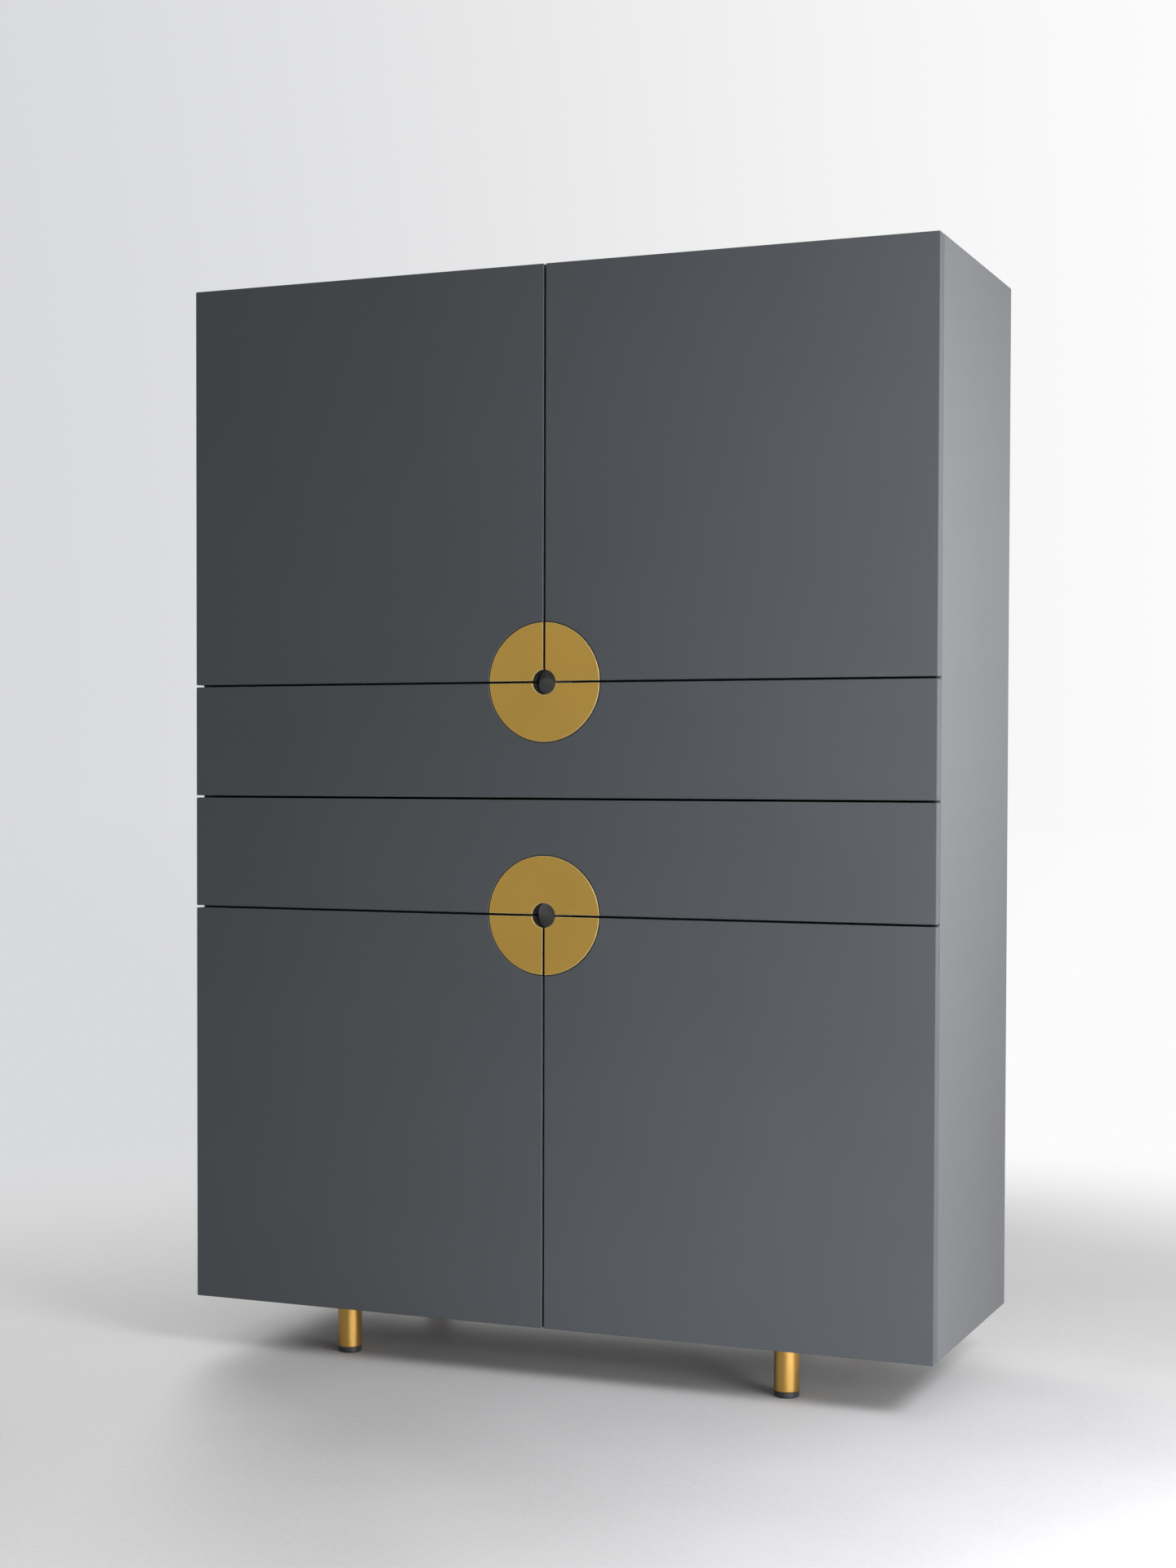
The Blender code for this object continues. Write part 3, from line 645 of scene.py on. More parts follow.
@dataclass(frozen=True)
class Finish:
    """A finish of the object's surfaces, made a material when it is first used.

    Its slot is the record's, and empty where the finish isn't the object's. A pair is a range's
    two ends, or a share and the factor of the colour that it brings in.
    """

    name: str
    slot: str
    colour: Triple
    roughness: float
    grain: float = 900.0
    drift: float = 3.0
    tones: Pair = (0.95, 1.05)
    edge_width: float = 0.001
    edge_breaks: float = 60.0
    wear: Pair = (0.4, 1.5)
    sheen: Pair = (-0.05, 0.05)
    depth: float = 0.00005
    line_scale: float = 1500.0
    stretch: Triple = (1.0, 1.0, 1.0)
    made: ClassVar[dict[str, bpy.types.Material]] = {}
    # Faces carrying this mark get painted shade: their colour is darkened in holes, pockets and
    # joints where shade falls.
    bored: ClassVar[str] = "bored_wall"

    def material(self) -> bpy.types.Material:
        """The finish's material, built once.

        Returns:
            The material.
        """
        if self.name in Finish.made:
            return Finish.made[self.name]
        material = bpy.data.materials.new(self.name)
        Finish.made[self.name] = material
        material.use_nodes = True
        coat = Coat(material)
        colour, rough, height = self.dress(coat)
        bump = coat.node("ShaderNodeBump", {"Height": height, "Distance": self.depth}).outputs[0]
        for name, socket in (("Base Color", colour), ("Roughness", rough), ("Normal", bump)):
            coat.feed(coat.shader.inputs[name], socket)
        return material

    def dress(self, coat: Coat) -> Look:
        """Works out the colour, the roughness and the height of the relief, from 0 to 1."""
        raise NotImplementedError

    def tint(self, factor: float) -> tuple[float, float, float, float]:
        """The finish's colour with each channel times a factor, and a full alpha."""
        return (*(min(1.0, channel * factor) for channel in self.colour), 1.0)

    def skin(self, coat: Coat) -> bpy.types.NodeOutputs:
        """The sprayed skin at the finish's grain and drift."""
        return SprayedSkin.use(coat, place=coat.place, grain=self.grain, drift=self.drift)

    def edge(self, coat: Coat) -> Socket:
        """The mask of the finish's rounded edges, where wear and painted highlights go."""
        sizes = {"width": self.edge_width, "breaks": self.edge_breaks}
        return WornEdge.use(coat, place=coat.place, **sizes)["Mask"]

    def brushed(self, coat: Coat) -> bpy.types.NodeOutputs:
        """The brushed lines at the finish's stretch and scale."""
        return BrushedLines.use(coat, place=coat.drawn(self.stretch), lines=self.line_scale)

    def layered(self, coat: Coat, tone: Socket, *layers: tuple[Socket, Pair]) -> Socket:
        """The finish's colour between its two tones, with each layer's laid over by its mask.

        Args:
            coat: The material's tree.
            tone: What spreads the tones.
            *layers: A mask with a share and a factor each.

        Returns:
            The colour.
        """
        colour = coat.blend(tone, *(self.tint(factor) for factor in self.tones))
        for mask, pair in layers:
            colour = self.over(coat, mask, pair, colour)
        return colour

    def over(self, coat: Coat, mask: Socket, pair: Pair, under: Socket) -> Socket:
        """Another colour, with the finish's times the pair's factor over it where a mask shows."""
        return coat.blend(coat.math("MULTIPLY", mask, pair[0]), under, self.tint(pair[1]))

    def rough(self, coat: Coat, tone: Socket) -> Socket:
        """The finish's roughness, with its sheen's range laid over a tone."""
        return coat.span(tone, *(self.roughness + end for end in self.sheen))


@dataclass(frozen=True)
class Lacquer(Finish):
    """Matt sprayed lacquer: orange-peel skin, faint cloudiness, a painted highlight on its edges."""

    grain: float = 650.0
    drift: float = 2.6
    edge_width: float = 0.0012
    edge_breaks: float = 40.0
    flecks: Pair = (0.35, 1.16)
    wear: Pair = (0.35, 1.6)
    bore: Pair = (0.85, 0.1)
    sheen: Pair = (-0.02, 0.03)
    edge_sheen: float = -0.10
    specular: float = 0.18
    depth: float = 0.00006

    def dress(self, coat: Coat) -> Look:
        """Tone, flecks, the edges' painted highlight and the walls' painted shade go to the colour,
        tone and edges to the roughness.

        Args:
            coat: The material's tree.

        Returns:
            Colour, roughness and the peel's height.
        """
        skin, edge, bored = self.skin(coat), self.edge(coat), coat.painted(self.bored)
        # The edge layer lightens rounded edges as a painted highlight; the marked walls are darkened
        # as painted shade.
        layers = (skin["Fleck"], self.flecks), (edge, self.wear), (bored, self.bore)
        colour = self.layered(coat, skin["Tone"], *layers)
        polish = coat.math("MULTIPLY", edge, self.edge_sheen)
        rough = coat.math("ADD", self.rough(coat, skin["Tone"]), polish)
        coat.shader.inputs["Specular IOR Level"].default_value = self.specular
        return colour, rough, skin["Height"]


@dataclass(frozen=True)
class Brass(Finish):
    """Satin brass: blasted and lacquered, with faint lines, cut edges painted lighter as bare metal
    and a painted highlight.
    """

    drift: float = 9.0
    tones: Pair = (0.94, 1.05)
    lines: Pair = (0.30, 1.25)
    edge_breaks: float = 150.0
    edge_share: float = 0.35
    edge_colour: Triple = (0.48, 0.375, 0.165)
    cut_dulling: float = 0.85
    bore: Pair = (0.85, 0.08)
    sheen: Pair = (-0.04, 0.05)
    depth: float = 0.00002
    cut_edge: ClassVar[str] = "cut_edge"

    def dress(self, coat: Coat) -> Look:
        """Lines and drift go to the colour and the relief; edges take a lighter, less metallic
        colour, partly bare metal and partly a painted highlight.

        Args:
            coat: The material's tree.

        Returns:
            Colour, roughness and the lines' height.
        """
        lines, cut_highlight = self.brushed(coat), coat.painted(self.cut_edge)
        lined = self.layered(coat, self.skin(coat)["Tone"], (lines["Tone"], self.lines))
        # Cut and rounded edges take a lighter, less metallic colour: partly bare metal, partly a
        # painted highlight.
        edge_highlight = coat.math("MAXIMUM", cut_highlight, coat.math("MULTIPLY", self.edge(coat), self.edge_share))
        edged = coat.blend(edge_highlight, lined, (*self.edge_colour, 1.0))
        dull = coat.math("MULTIPLY", cut_highlight, self.cut_dulling)
        coat.feed(coat.shader.inputs["Metallic"], coat.math("SUBTRACT", 1.0, dull))
        # Marked walls are darkened as painted shade.
        colour = self.over(coat, coat.painted(self.bored), self.bore, edged)
        return colour, self.rough(coat, lines["Tone"]), lines["Height"]


@dataclass(frozen=True)
class Steel(Finish):
    """Nickel-plated pressed steel: fine roll lines from front to back, edges a little brighter."""

    grain: float = 500.0
    drift: float = 45.0
    tones: Pair = (0.88, 1.05)
    line_scale: float = 1600.0
    edge_width: float = 0.0005
    edge_breaks: float = 300.0
    wear: Pair = (0.6, 1.5)
    sheen: Pair = (-0.06, 0.08)
    depth: float = 0.00001
    stretch: Triple = (1.0, 0.06, 1.0)

    def dress(self, coat: Coat) -> Look:
        """The lines give roughness and relief; drift dulls the plating in patches.

        Args:
            coat: The material's tree.

        Returns:
            Colour, roughness and the lines' height.
        """
        lines, worn = self.brushed(coat), (self.edge(coat), self.wear)
        colour = self.layered(coat, self.skin(coat)["Tone"], worn)
        coat.shader.inputs["Metallic"].default_value = 1.0
        return colour, self.rough(coat, lines["Tone"]), lines["Height"]


@dataclass(frozen=True)
class Plastic(Finish):
    """Moulded plastic with a fine spark-eroded texture and scuffed edges."""

    grain: float = 1100.0
    drift: float = 25.0
    tones: Pair = (0.85, 1.2)
    edge_width: float = 0.0008
    edge_breaks: float = 180.0
    wear: Pair = (0.4, 3.0)
    sheen: Pair = (-0.05, 0.08)

    def dress(self, coat: Coat) -> Look:
        """The moulded grain gives relief and sheen; edges and drift lighten the colour.

        Args:
            coat: The material's tree.

        Returns:
            Colour, roughness and the grain's height.
        """
        skin, worn = self.skin(coat), (self.edge(coat), self.wear)
        colour = self.layered(coat, skin["Tone"], worn)
        return colour, self.rough(coat, skin["Fleck"]), skin["Height"]


@dataclass(frozen=True)
class Hardwood(Finish):
    """Waxed beech with its grain along the piece."""

    tones: Pair = (0.80, 1.12)
    band_scale: float = 55.0
    pores: Pair = (0.5, 0.5)
    edge_width: float = 0.0008
    edge_breaks: float = 90.0
    wear: Pair = (0.4, 1.35)
    sheen: Pair = (-0.05, 0.15)
    depth: float = 0.00008
    stretch: Triple = (1.0, 0.07, 1.0)

    def dress(self, coat: Coat) -> Look:
        """Bands and pores, drawn out along Y, go to the colour; pores are rougher and sunk.

        Args:
            coat: The material's tree.

        Returns:
            Colour, roughness and the pores' height.
        """
        grain = WoodGrain.use(coat, place=coat.drawn(self.stretch), bands=self.band_scale)
        pored, worn = (grain["Pore"], self.pores), (self.edge(coat), self.wear)
        colour = self.layered(coat, grain["Band"], pored, worn)
        return colour, self.rough(coat, grain["Pore"]), coat.math("MULTIPLY", grain["Pore"], -1.0)


FRONT_LACQUER = Lacquer("matt_front_lacquer", "front_lacquer", (0.0708, 0.0766, 0.0820), 0.50)
CARCASS_LACQUER = Lacquer("matt_carcass_lacquer", "carcass_lacquer", (0.100, 0.1035, 0.1085), 0.48)
BOX_LACQUER = Lacquer("matt_drawer_board", "drawer_board", (0.12, 0.125, 0.13), 0.55, grain=420.0)
# The cup's pale paint stands in for light falling through the finger hole; outside the floor's middle
# it is darkened as painted shade.
CUP_PAINT = Lacquer("finger_cup_paint", "finger_cup", (0.74, 0.75, 0.75), 0.6)
DISC_BRASS = Brass("satin_disc_brass", "disc_brass", (0.527, 0.330, 0.0735), 0.46)
LEG_BRASS = Brass("satin_leg_brass", "leg_brass", (0.46, 0.275, 0.075), 0.34,
                  stretch=(0.4, 0.4, 1.0))
NICKEL = Steel("nickel_plate", "hinge_steel", (0.56, 0.56, 0.55), 0.30)
GLIDE_PLASTIC = Plastic("black_glide_plastic", "glide_plastic", (0.012, 0.012, 0.015), 0.42)
BUMPER_RUBBER = Plastic("bumper_rubber", "glide_plastic", (0.32, 0.32, 0.31), 0.35)
BEECH = Hardwood("runner_beech", "runner_wood", (0.42, 0.26, 0.13), 0.42)


# Sub-assemblies


@dataclass
class Fronts:
    """The lacquered doors and drawer fronts, with the pockets of the discs and finger holes.

    A face is a steep wall where its normal's depth is less than steep, and belongs to the back
    edge's lip where it lies between the two values of lip.
    """

    edge: float = 0.0010
    corner: float = 0.0014
    steps: int = 4
    pocket_radius: float = 0.0831
    pocket_depth: float = 0.0063
    hole_radius: float = 0.017
    arc_steps: int = 48
    hinge_pocket_radius: float = 0.0178
    hinge_pocket_depth: float = 0.0130
    hinge_inset: float = 0.0202
    hinge_distance: float = 0.100
    pocket_steps: int = 48
    steep: float = 0.9
    lip: Pair = (0.2, 0.98)

    def outline(self, corners: Array, radius: float) -> Array:
        """A front's outline about its disc's centre, with the disc's arc bitten out of it: the
        rectangle's corners as small arcs, then the bite's arc run backwards. The bite's ends lie
        where its circle meets the front's edges, at the arcsine of half a joint over its radius.

        Args:
            corners: The lowest and the highest. The lowest's second value is half a joint, and
                so is a door's first.
            radius: The bite's radius.

        Returns:
            The loop, with the disc towards its lower edge.
        """
        low, high = corners
        quarter = low[0] > 0
        tilt = math.asin(low[1] / radius)
        end = (math.pi / 2 if quarter else math.pi) - tilt
        box = np.array([[high[0], low[1]], high, [low[0], high[1]], low])
        kept = (3 if quarter else 4) * (self.steps + 1)
        rounded = round_corners(box, self.corner, self.steps)[:kept]
        return np.concatenate([rounded, arc((0, 0), radius, end, tilt, self.arc_steps)])

    def shape(self, corners: Array, thickness: float, pockets: Sequence[Array]) -> Shape:
        """A front as a closed mesh through rings: rounded front edge, pocket wall, pocket floor,
        hole wall and back edge. Its back has round hinge pockets.

        Args:
            corners: The lowest and the highest corner about the disc's centre.
            thickness: The board's thickness.
            pockets: The centres of the hinge pockets about the disc's centre.

        Returns:
            The mesh, in the outline's plane with its depth along the third axis.
        """
        wide = self.outline(corners, self.pocket_radius)
        narrow = self.outline(corners, self.hole_radius)
        levels = edge_levels(thickness, self.edge, self.steps)
        half = len(levels) // 2
        floor = [at_depth(loop, self.pocket_depth) for loop in (wide, narrow)]
        front, back = rings_of(wide, levels[:half]), rings_of(narrow, levels[half:])
        rings = np.concatenate([front, floor, back])
        surface = Surface().grid(rings).cap(rings[0])
        if not pockets:
            return self.mark_bored(surface.cap(rings[-1]).shape())
        rim = circle(self.hinge_pocket_radius, self.pocket_steps)
        for centre in pockets:
            mouth, floor = (at_depth(rim + centre, thickness - depth)
                            for depth in (0.0, self.hinge_pocket_depth))
            surface.grid(np.array([mouth, floor])).cap(floor)
        shape = surface.shape()
        gaps = [edge for edge in shape.edges if edge.is_boundary]
        bmesh.ops.triangle_fill(shape, use_beauty=True, edges=gaps, normal=(0, 0, 1))
        bmesh.ops.recalc_face_normals(shape, faces=shape.faces)
        return self.mark_bored(shape)

    def mark_bored(self, shape: Shape) -> Shape:
        """Marks the walls that get painted shade: the finger hole's, the disc pocket's and the back
        edge.

        Args:
            shape: The front's mesh about the disc's centre.

        Returns:
            The same mesh, with the mark as a value on its faces.
        """
        layer = shape.faces.layers.float.new(Finish.bored)
        for face in shape.faces:
            middle = face.calc_center_median()
            away, steep = middle.xy.length, abs(face.normal.z) < self.steep
            bore = steep and away < self.hole_radius + self.edge
            pocket = steep and middle.z > self.edge and away < self.pocket_radius + self.edge
            lip = self.lip[0] < face.normal.z < self.lip[1]
            # The hole's wall, the pocket's wall and the back edge's lip get painted shade, darkened
            # where shade falls.
            face[layer] = float(bore or pocket or lip)
        return shape

    def front(self, node: str, row: Row, side: Side | None = None) -> None:
        """Makes one front in its place. A door is mirrored to its side and has hinge pockets.

        Args:
            node: The front's solid.
            row: The row whose disc is let into it.
            side: A door's side.
        """
        low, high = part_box(node)
        near, far = sorted((abs(low.z - row.level), abs(high.z - row.level)))
        if side is None:
            body, across, up = f"drawer_{row.word}", 1, -row.value
            inner, outer, pockets = low.x, high.x, []
        else:
            body, across, up = node, side.value, row.value
            inner, outer = sorted((abs(low.x), abs(high.x)))
            heights = (near + self.hinge_distance, far - self.hinge_distance)
            pockets = [np.array([outer - self.hinge_inset, height]) for height in heights]
        corners = np.array([[inner, near], [outer, far]])
        shape = self.shape(corners, high.y - low.y, pockets)
        stand(shape, facing((0, low.y, row.level), across, up))
        Workshop.piece(f"{node}_panel", shape, FRONT_LACQUER, body, node)

    def build(self) -> None:
        """Makes the four doors and the two drawer fronts."""
        for row in Row:
            for side in Side:
                self.front(f"door_{row.word}_{side.word}", row, side)
            self.front(f"drawer_front_{row.word}", row)


@dataclass
class Discs:
    """The inlaid brass pieces: quarters on the doors and halves on the drawers.

    The bevel's rows are depth and inset in parts of the chamfer, with its ends softened.
    """

    outer: float = 0.082
    inner: float = 0.017
    half_joint: float = 0.0015
    chamfer: float = 0.0005
    bevel: tuple[Pair, ...] = ((0.0, 1.25), (0.12, 0.88), (0.88, 0.12), (1.25, 0.0), (1.6, 0.0))
    bevel_reach: float = 1.3
    flat: float = 0.98
    joint_dulling: float = 0.6
    arc_steps: int = 56
    sharp: float = 30.0

    def outline(self, quarters: int) -> Array:
        """A ring's sector whose straight edges lie half a joint from its centre lines: the outer
        arc run forwards, then the inner arc run back.

        Args:
            quarters: How many quarters the sector spans.

        Returns:
            The loop about the disc's centre.
        """
        end = quarters * math.pi / 2
        tilt = math.asin(self.half_joint / self.outer)
        inner_tilt = math.asin(self.half_joint / self.inner)
        steps = self.arc_steps * quarters
        outside = arc((0, 0), self.outer, tilt, end - tilt, steps)
        inside = arc((0, 0), self.inner, end - inner_tilt, inner_tilt, steps)
        return np.concatenate([outside, inside])

    def levels(self, thickness: float) -> Array:
        """Rows of depth and inset: the bevel's rows times the chamfer, then the straight wall."""
        return np.concatenate([np.array(self.bevel) * self.chamfer, [[thickness, 0.0]]])

    def mark_edges(self, shape: Shape) -> None:
        """Marks the chamfer, which slopes and lies near the front, for a painted highlight, and the
        walls for painted shade. The chamfer along the doors' upright joint gets part of that painted
        shade.

        Args:
            shape: The plate's mesh, its face at depth 0.
        """
        cut_highlight = shape.faces.layers.float.new(Brass.cut_edge)
        bored = shape.faces.layers.float.new(Finish.bored)
        reach = self.bevel_reach * self.chamfer
        for face in shape.faces:
            middle = face.calc_center_median()
            sloped = abs(face.normal.z) < self.flat
            bevelled = sloped and middle.z < reach
            beside = abs(middle.x) < self.half_joint + reach
            upright = beside and abs(face.normal.x) > abs(face.normal.y)
            # The chamfer gets the lighter cut-edge colour as a painted highlight; the walls, and the
            # upright joint's chamfer in part, are darkened as painted shade.
            face[cut_highlight] = float(bevelled)
            face[bored] = self.joint_dulling * upright if bevelled else float(sloped)

    def build(self) -> None:
        """Makes the two quarters and the half of each disc."""
        for row in Row:
            sectors = [(side.word, f"door_{row.word}_{side.word}", side.value, row.value, 1)
                       for side in Side]
            sectors.append(("drawer", f"drawer_{row.word}", 1, -row.value, 2))
            for place, body, across, up, quarters in sectors:
                node = f"disc_{row.word}_{place}"
                low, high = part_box(node)
                rings = rings_of(self.outline(quarters), self.levels(high.y - low.y))
                shape = Surface().closed_rings(rings).shape()
                self.mark_edges(shape)
                stand(shape, facing((0, low.y, row.level), across, up))
                Workshop.piece(f"{node}_inlay", shape, DISC_BRASS, body, node, self.sharp)


@dataclass
class Carcass:
    """The fixed boards, the finger cups and the shelf pins."""

    edge: float = 0.0007
    corner: float = 0.0008
    board: float = 0.019
    notch: float = 0.0383
    notch_depth: float = 0.0223
    cup_wall: float = 0.002
    cup_round: float = 0.012
    cup_pale: float = 0.025
    cup_steps: tuple[int, int] = (12, 8)
    cup_segments: int = 96
    pin_inset: float = 0.050
    pin_radius: float = 0.0028
    pin_reach: float = 0.0084
    pin_tip: float = 0.0006
    pin_segments: int = 32
    collar_radius: float = 0.0045
    collar_height: float = 0.0012
    collar_edge: float = 0.0004
    touch: float = 0.0001

    def slab(self, box: Box, corner: float | None = None) -> Surface:
        """A board that fills a box: a plate across its two longer sides, edges rounded.

        Args:
            box: The lowest and the highest corner.
            corner: The radius of the plate's corners, where it isn't the usual one.

        Returns:
            The board in its place.
        """
        low, high = box
        size = high - low
        thin = min(range(3), key=lambda axis: size[axis])
        first, second = (axis for axis in range(3) if axis != thin)
        outline = round_corners(rectangle(size[first], size[second]), corner or self.corner)
        columns = np.eye(3)
        middle = (low + high) / 2
        middle[thin] = low[thin]
        matrix = axes_matrix(middle, columns[first], columns[second], columns[thin])
        return Surface().plate(outline, size[thin], self.edge).moved(matrix)

    def notched(self, box: Box) -> Surface:
        """A divider: its outline has a square notch in the middle of its front edge.

        Args:
            box: The lowest and the highest corner.

        Returns:
            The board in its place.
        """
        low, high = box
        half, end = self.notch, low.y + self.notch_depth
        corners = np.array([
            [low.x, low.y], [-half, low.y], [-half, end], [half, end], [half, low.y],
            [high.x, low.y], [high.x, high.y], [low.x, high.y],
        ])
        plate = Surface().plate(round_corners(corners, self.corner), high.z - low.z, self.edge)
        return plate.moved(Matrix.Translation((0, 0, low.z)))

    def build(self) -> None:
        """Makes every board and the pieces let into them."""
        for side in Side:
            node = f"side_panel_{side.word}"
            low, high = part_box(node)
            inner = side.value * (max(abs(low.x), abs(high.x)) - self.board)
            (high if side is Side.LEFT else low).x = inner
            self.fix(node, self.slab((low, high)))
        for node in ("top_panel", "bottom_panel", "back_panel", "upper_shelf", "lower_shelf"):
            self.fix(node, self.slab(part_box(node)))
        for row in Row:
            node = f"{row.word}_divider"
            self.fix(node, self.notched(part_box(node)))
            self.cup(row)
            self.pins(row)

    @staticmethod
    def fix(node: str, surface: Surface) -> None:
        """Makes a node's fixed board in the carcass lacquer from a surface in its place."""
        Workshop.piece(f"{node}_board", surface, CARCASS_LACQUER, node=node)

    def cup(self, row: Row) -> None:
        """Turns a finger cup about its axis through the joint, with painted shade outside its floor's
        middle.

        Args:
            row: The row whose disc it sits behind.
        """
        node = f"finger_cup_{row.word}"
        low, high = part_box(node)
        floor = low.y - high.y
        radius, wall = (high.x - low.x) / 2, self.cup_wall
        profile = bowl(radius, wall, floor, 0.0, self.cup_round, self.cup_steps)
        profile = np.insert(profile, 1, [self.cup_pale, floor + wall], axis=0)
        shape = Surface().turned(profile, self.cup_segments).shape()
        layer = shape.faces.layers.float.new(Finish.bored)
        for face in shape.faces:
            # Faces outside the floor's middle get painted shade; the pale middle stands in for light
            # through the hole.
            face[layer] = float(face.calc_center_median().xy.length > self.cup_pale)
        middle = (low + high) / 2
        stand(shape, axes_matrix((middle.x, low.y, middle.z), (1, 0, 0), (0, 0, 1), (0, -1, 0)))
        Workshop.piece(f"{node}_bowl", shape, CUP_PAINT, node=node)

    def pins(self, row: Row) -> None:
        """Two nickel pins under each end of a shelf, turned with a small collar at the board.

        Args:
            row: The row whose shelf they carry.
        """
        low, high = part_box(f"{row.word}_shelf")
        height = low.z - self.pin_radius - self.touch
        for side in Side:
            for order, y in enumerate((low.y + self.pin_inset, high.y - self.pin_inset)):
                place = (side.value * self.inner_x(), y, height)
                matrix = axes_matrix(place, (0, 1, 0), (0, 0, 1), (-side.value, 0, 0))
                pin = Surface().turned(self.pin_profile(), self.pin_segments).moved(matrix)
                Workshop.piece(f"shelf_pin_{row.word}_{side.word}_{order}", pin, NICKEL)

    def pin_profile(self) -> Array:
        """A shelf pin's section: a low collar with a bevelled edge, then the pin and its bevel.

        Returns:
            Rows of radius and height above the board.
        """
        wide, high, bevel = self.collar_radius, self.collar_height, self.collar_edge
        pin, reach, tip = self.pin_radius, self.pin_reach, self.pin_tip
        collar = [[0, 0], [wide, 0], [wide, high - bevel], [wide - bevel, high]]
        return np.array([*collar, [pin, high], [pin, reach - tip], [pin - tip, reach], [0, reach]])

    def inner_x(self) -> float:
        """Half the clear width between the side panels, in metres."""
        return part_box("side_panel_right")[1].x - self.board


@dataclass
class Feet:
    """The turned brass legs and their black glides.

    Each end is the radius of its rounding and the chords to it, the lower end first.
    """

    leg_ends: tuple[tuple[float, int], ...] = ((0.0009, 5), (0.0009, 5))
    glide_ends: tuple[tuple[float, int], ...] = ((0.0022, 8), (0.0005, 3))
    touch: float = 0.0003
    segments: int = 96

    def post(self, radius: float, low: float, high: float,
             ends: tuple[tuple[float, int], ...]) -> Surface:
        """A round post about the third axis: flat ends, quarter circles at both, straight wall.

        Args:
            radius: The post's radius.
            low: The height of its lower end.
            high: The height of its upper end.
            ends: The rounding of both.

        Returns:
            The post.
        """
        (foot, foot_steps), (head, head_steps) = ends
        below = arc((radius - foot, low + foot), foot, -math.pi / 2, 0, foot_steps)
        above = arc((radius - head, high - head), head, 0, math.pi / 2, head_steps)
        profile = np.concatenate([[[0, low]], below, above, [[0, high]]])
        return Surface().turned(profile, self.segments)

    def build(self) -> None:
        """Makes the four legs and glides."""
        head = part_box("bottom_panel")[0].z - self.touch
        for place in (f"{end}_{side.word}" for end in ("front", "rear") for side in Side):
            leg, glide = f"leg_{place}", f"glide_{place}"
            (low, high), (near, far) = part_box(leg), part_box(glide)
            tube = self.post((high.x - low.x) / 2, low.z, head, self.leg_ends)
            pad = self.post((far.x - near.x) / 2, 0.0, low.z - self.touch, self.glide_ends)
            middle = (low + high) / 2
            matrix = Matrix.Translation((middle.x, middle.y, 0))
            Workshop.piece(f"{leg}_tube", tube.moved(matrix), LEG_BRASS, node=leg)
            Workshop.piece(f"{glide}_pad", pad.moved(matrix), GLIDE_PLASTIC, node=glide)


@dataclass
class Drawers:
    """The drawer boxes and the beech runners in their grooves."""

    edge: float = 0.0007
    groove_floor: float = 0.5205
    groove_half: float = 0.0074
    corner: float = 0.0008
    rail_corner: float = 0.0015

    def grooved(self, box: Box, side: Side) -> Surface:
        """A drawer side: its section, with the runner's groove, carried along its length.

        Args:
            box: The lowest and the highest corner.
            side: The side of the drawer.

        Returns:
            The board in its place.
        """
        low, high = box
        inner, outer = sorted((abs(low.x), abs(high.x)))
        middle, floor = (low.z + high.z) / 2, self.groove_floor
        bottom, top = middle - self.groove_half, middle + self.groove_half
        corners = np.array([
            [inner, low.z], [outer, low.z], [outer, bottom], [floor, bottom], [floor, top],
            [outer, top], [outer, high.z], [inner, high.z],
        ])
        plate = Surface().plate(round_corners(corners, self.corner), high.y - low.y, self.edge)
        return plate.moved(facing((0, low.y, 0), side.value))

    def build(self, boards: Carcass) -> None:
        """Makes both drawer boxes and the four runners.

        Args:
            boards: What makes plain boards.
        """
        for row in Row:
            body = f"drawer_{row.word}"
            for side in Side:
                node = f"drawer_side_{row.word}_{side.word}"
                board = self.grooved(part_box(node), side)
                Workshop.piece(f"{node}_board", board, BOX_LACQUER, body, node)
                runner = f"runner_{row.word}_{side.word}"
                rail = boards.slab(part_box(runner), self.rail_corner)
                Workshop.piece(f"{runner}_rail", rail, BEECH, node=runner)
            for node in (f"drawer_{part}_{row.word}" for part in ("back", "bottom")):
                board = boards.slab(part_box(node))
                Workshop.piece(f"{node}_board", board, BOX_LACQUER, body, node)


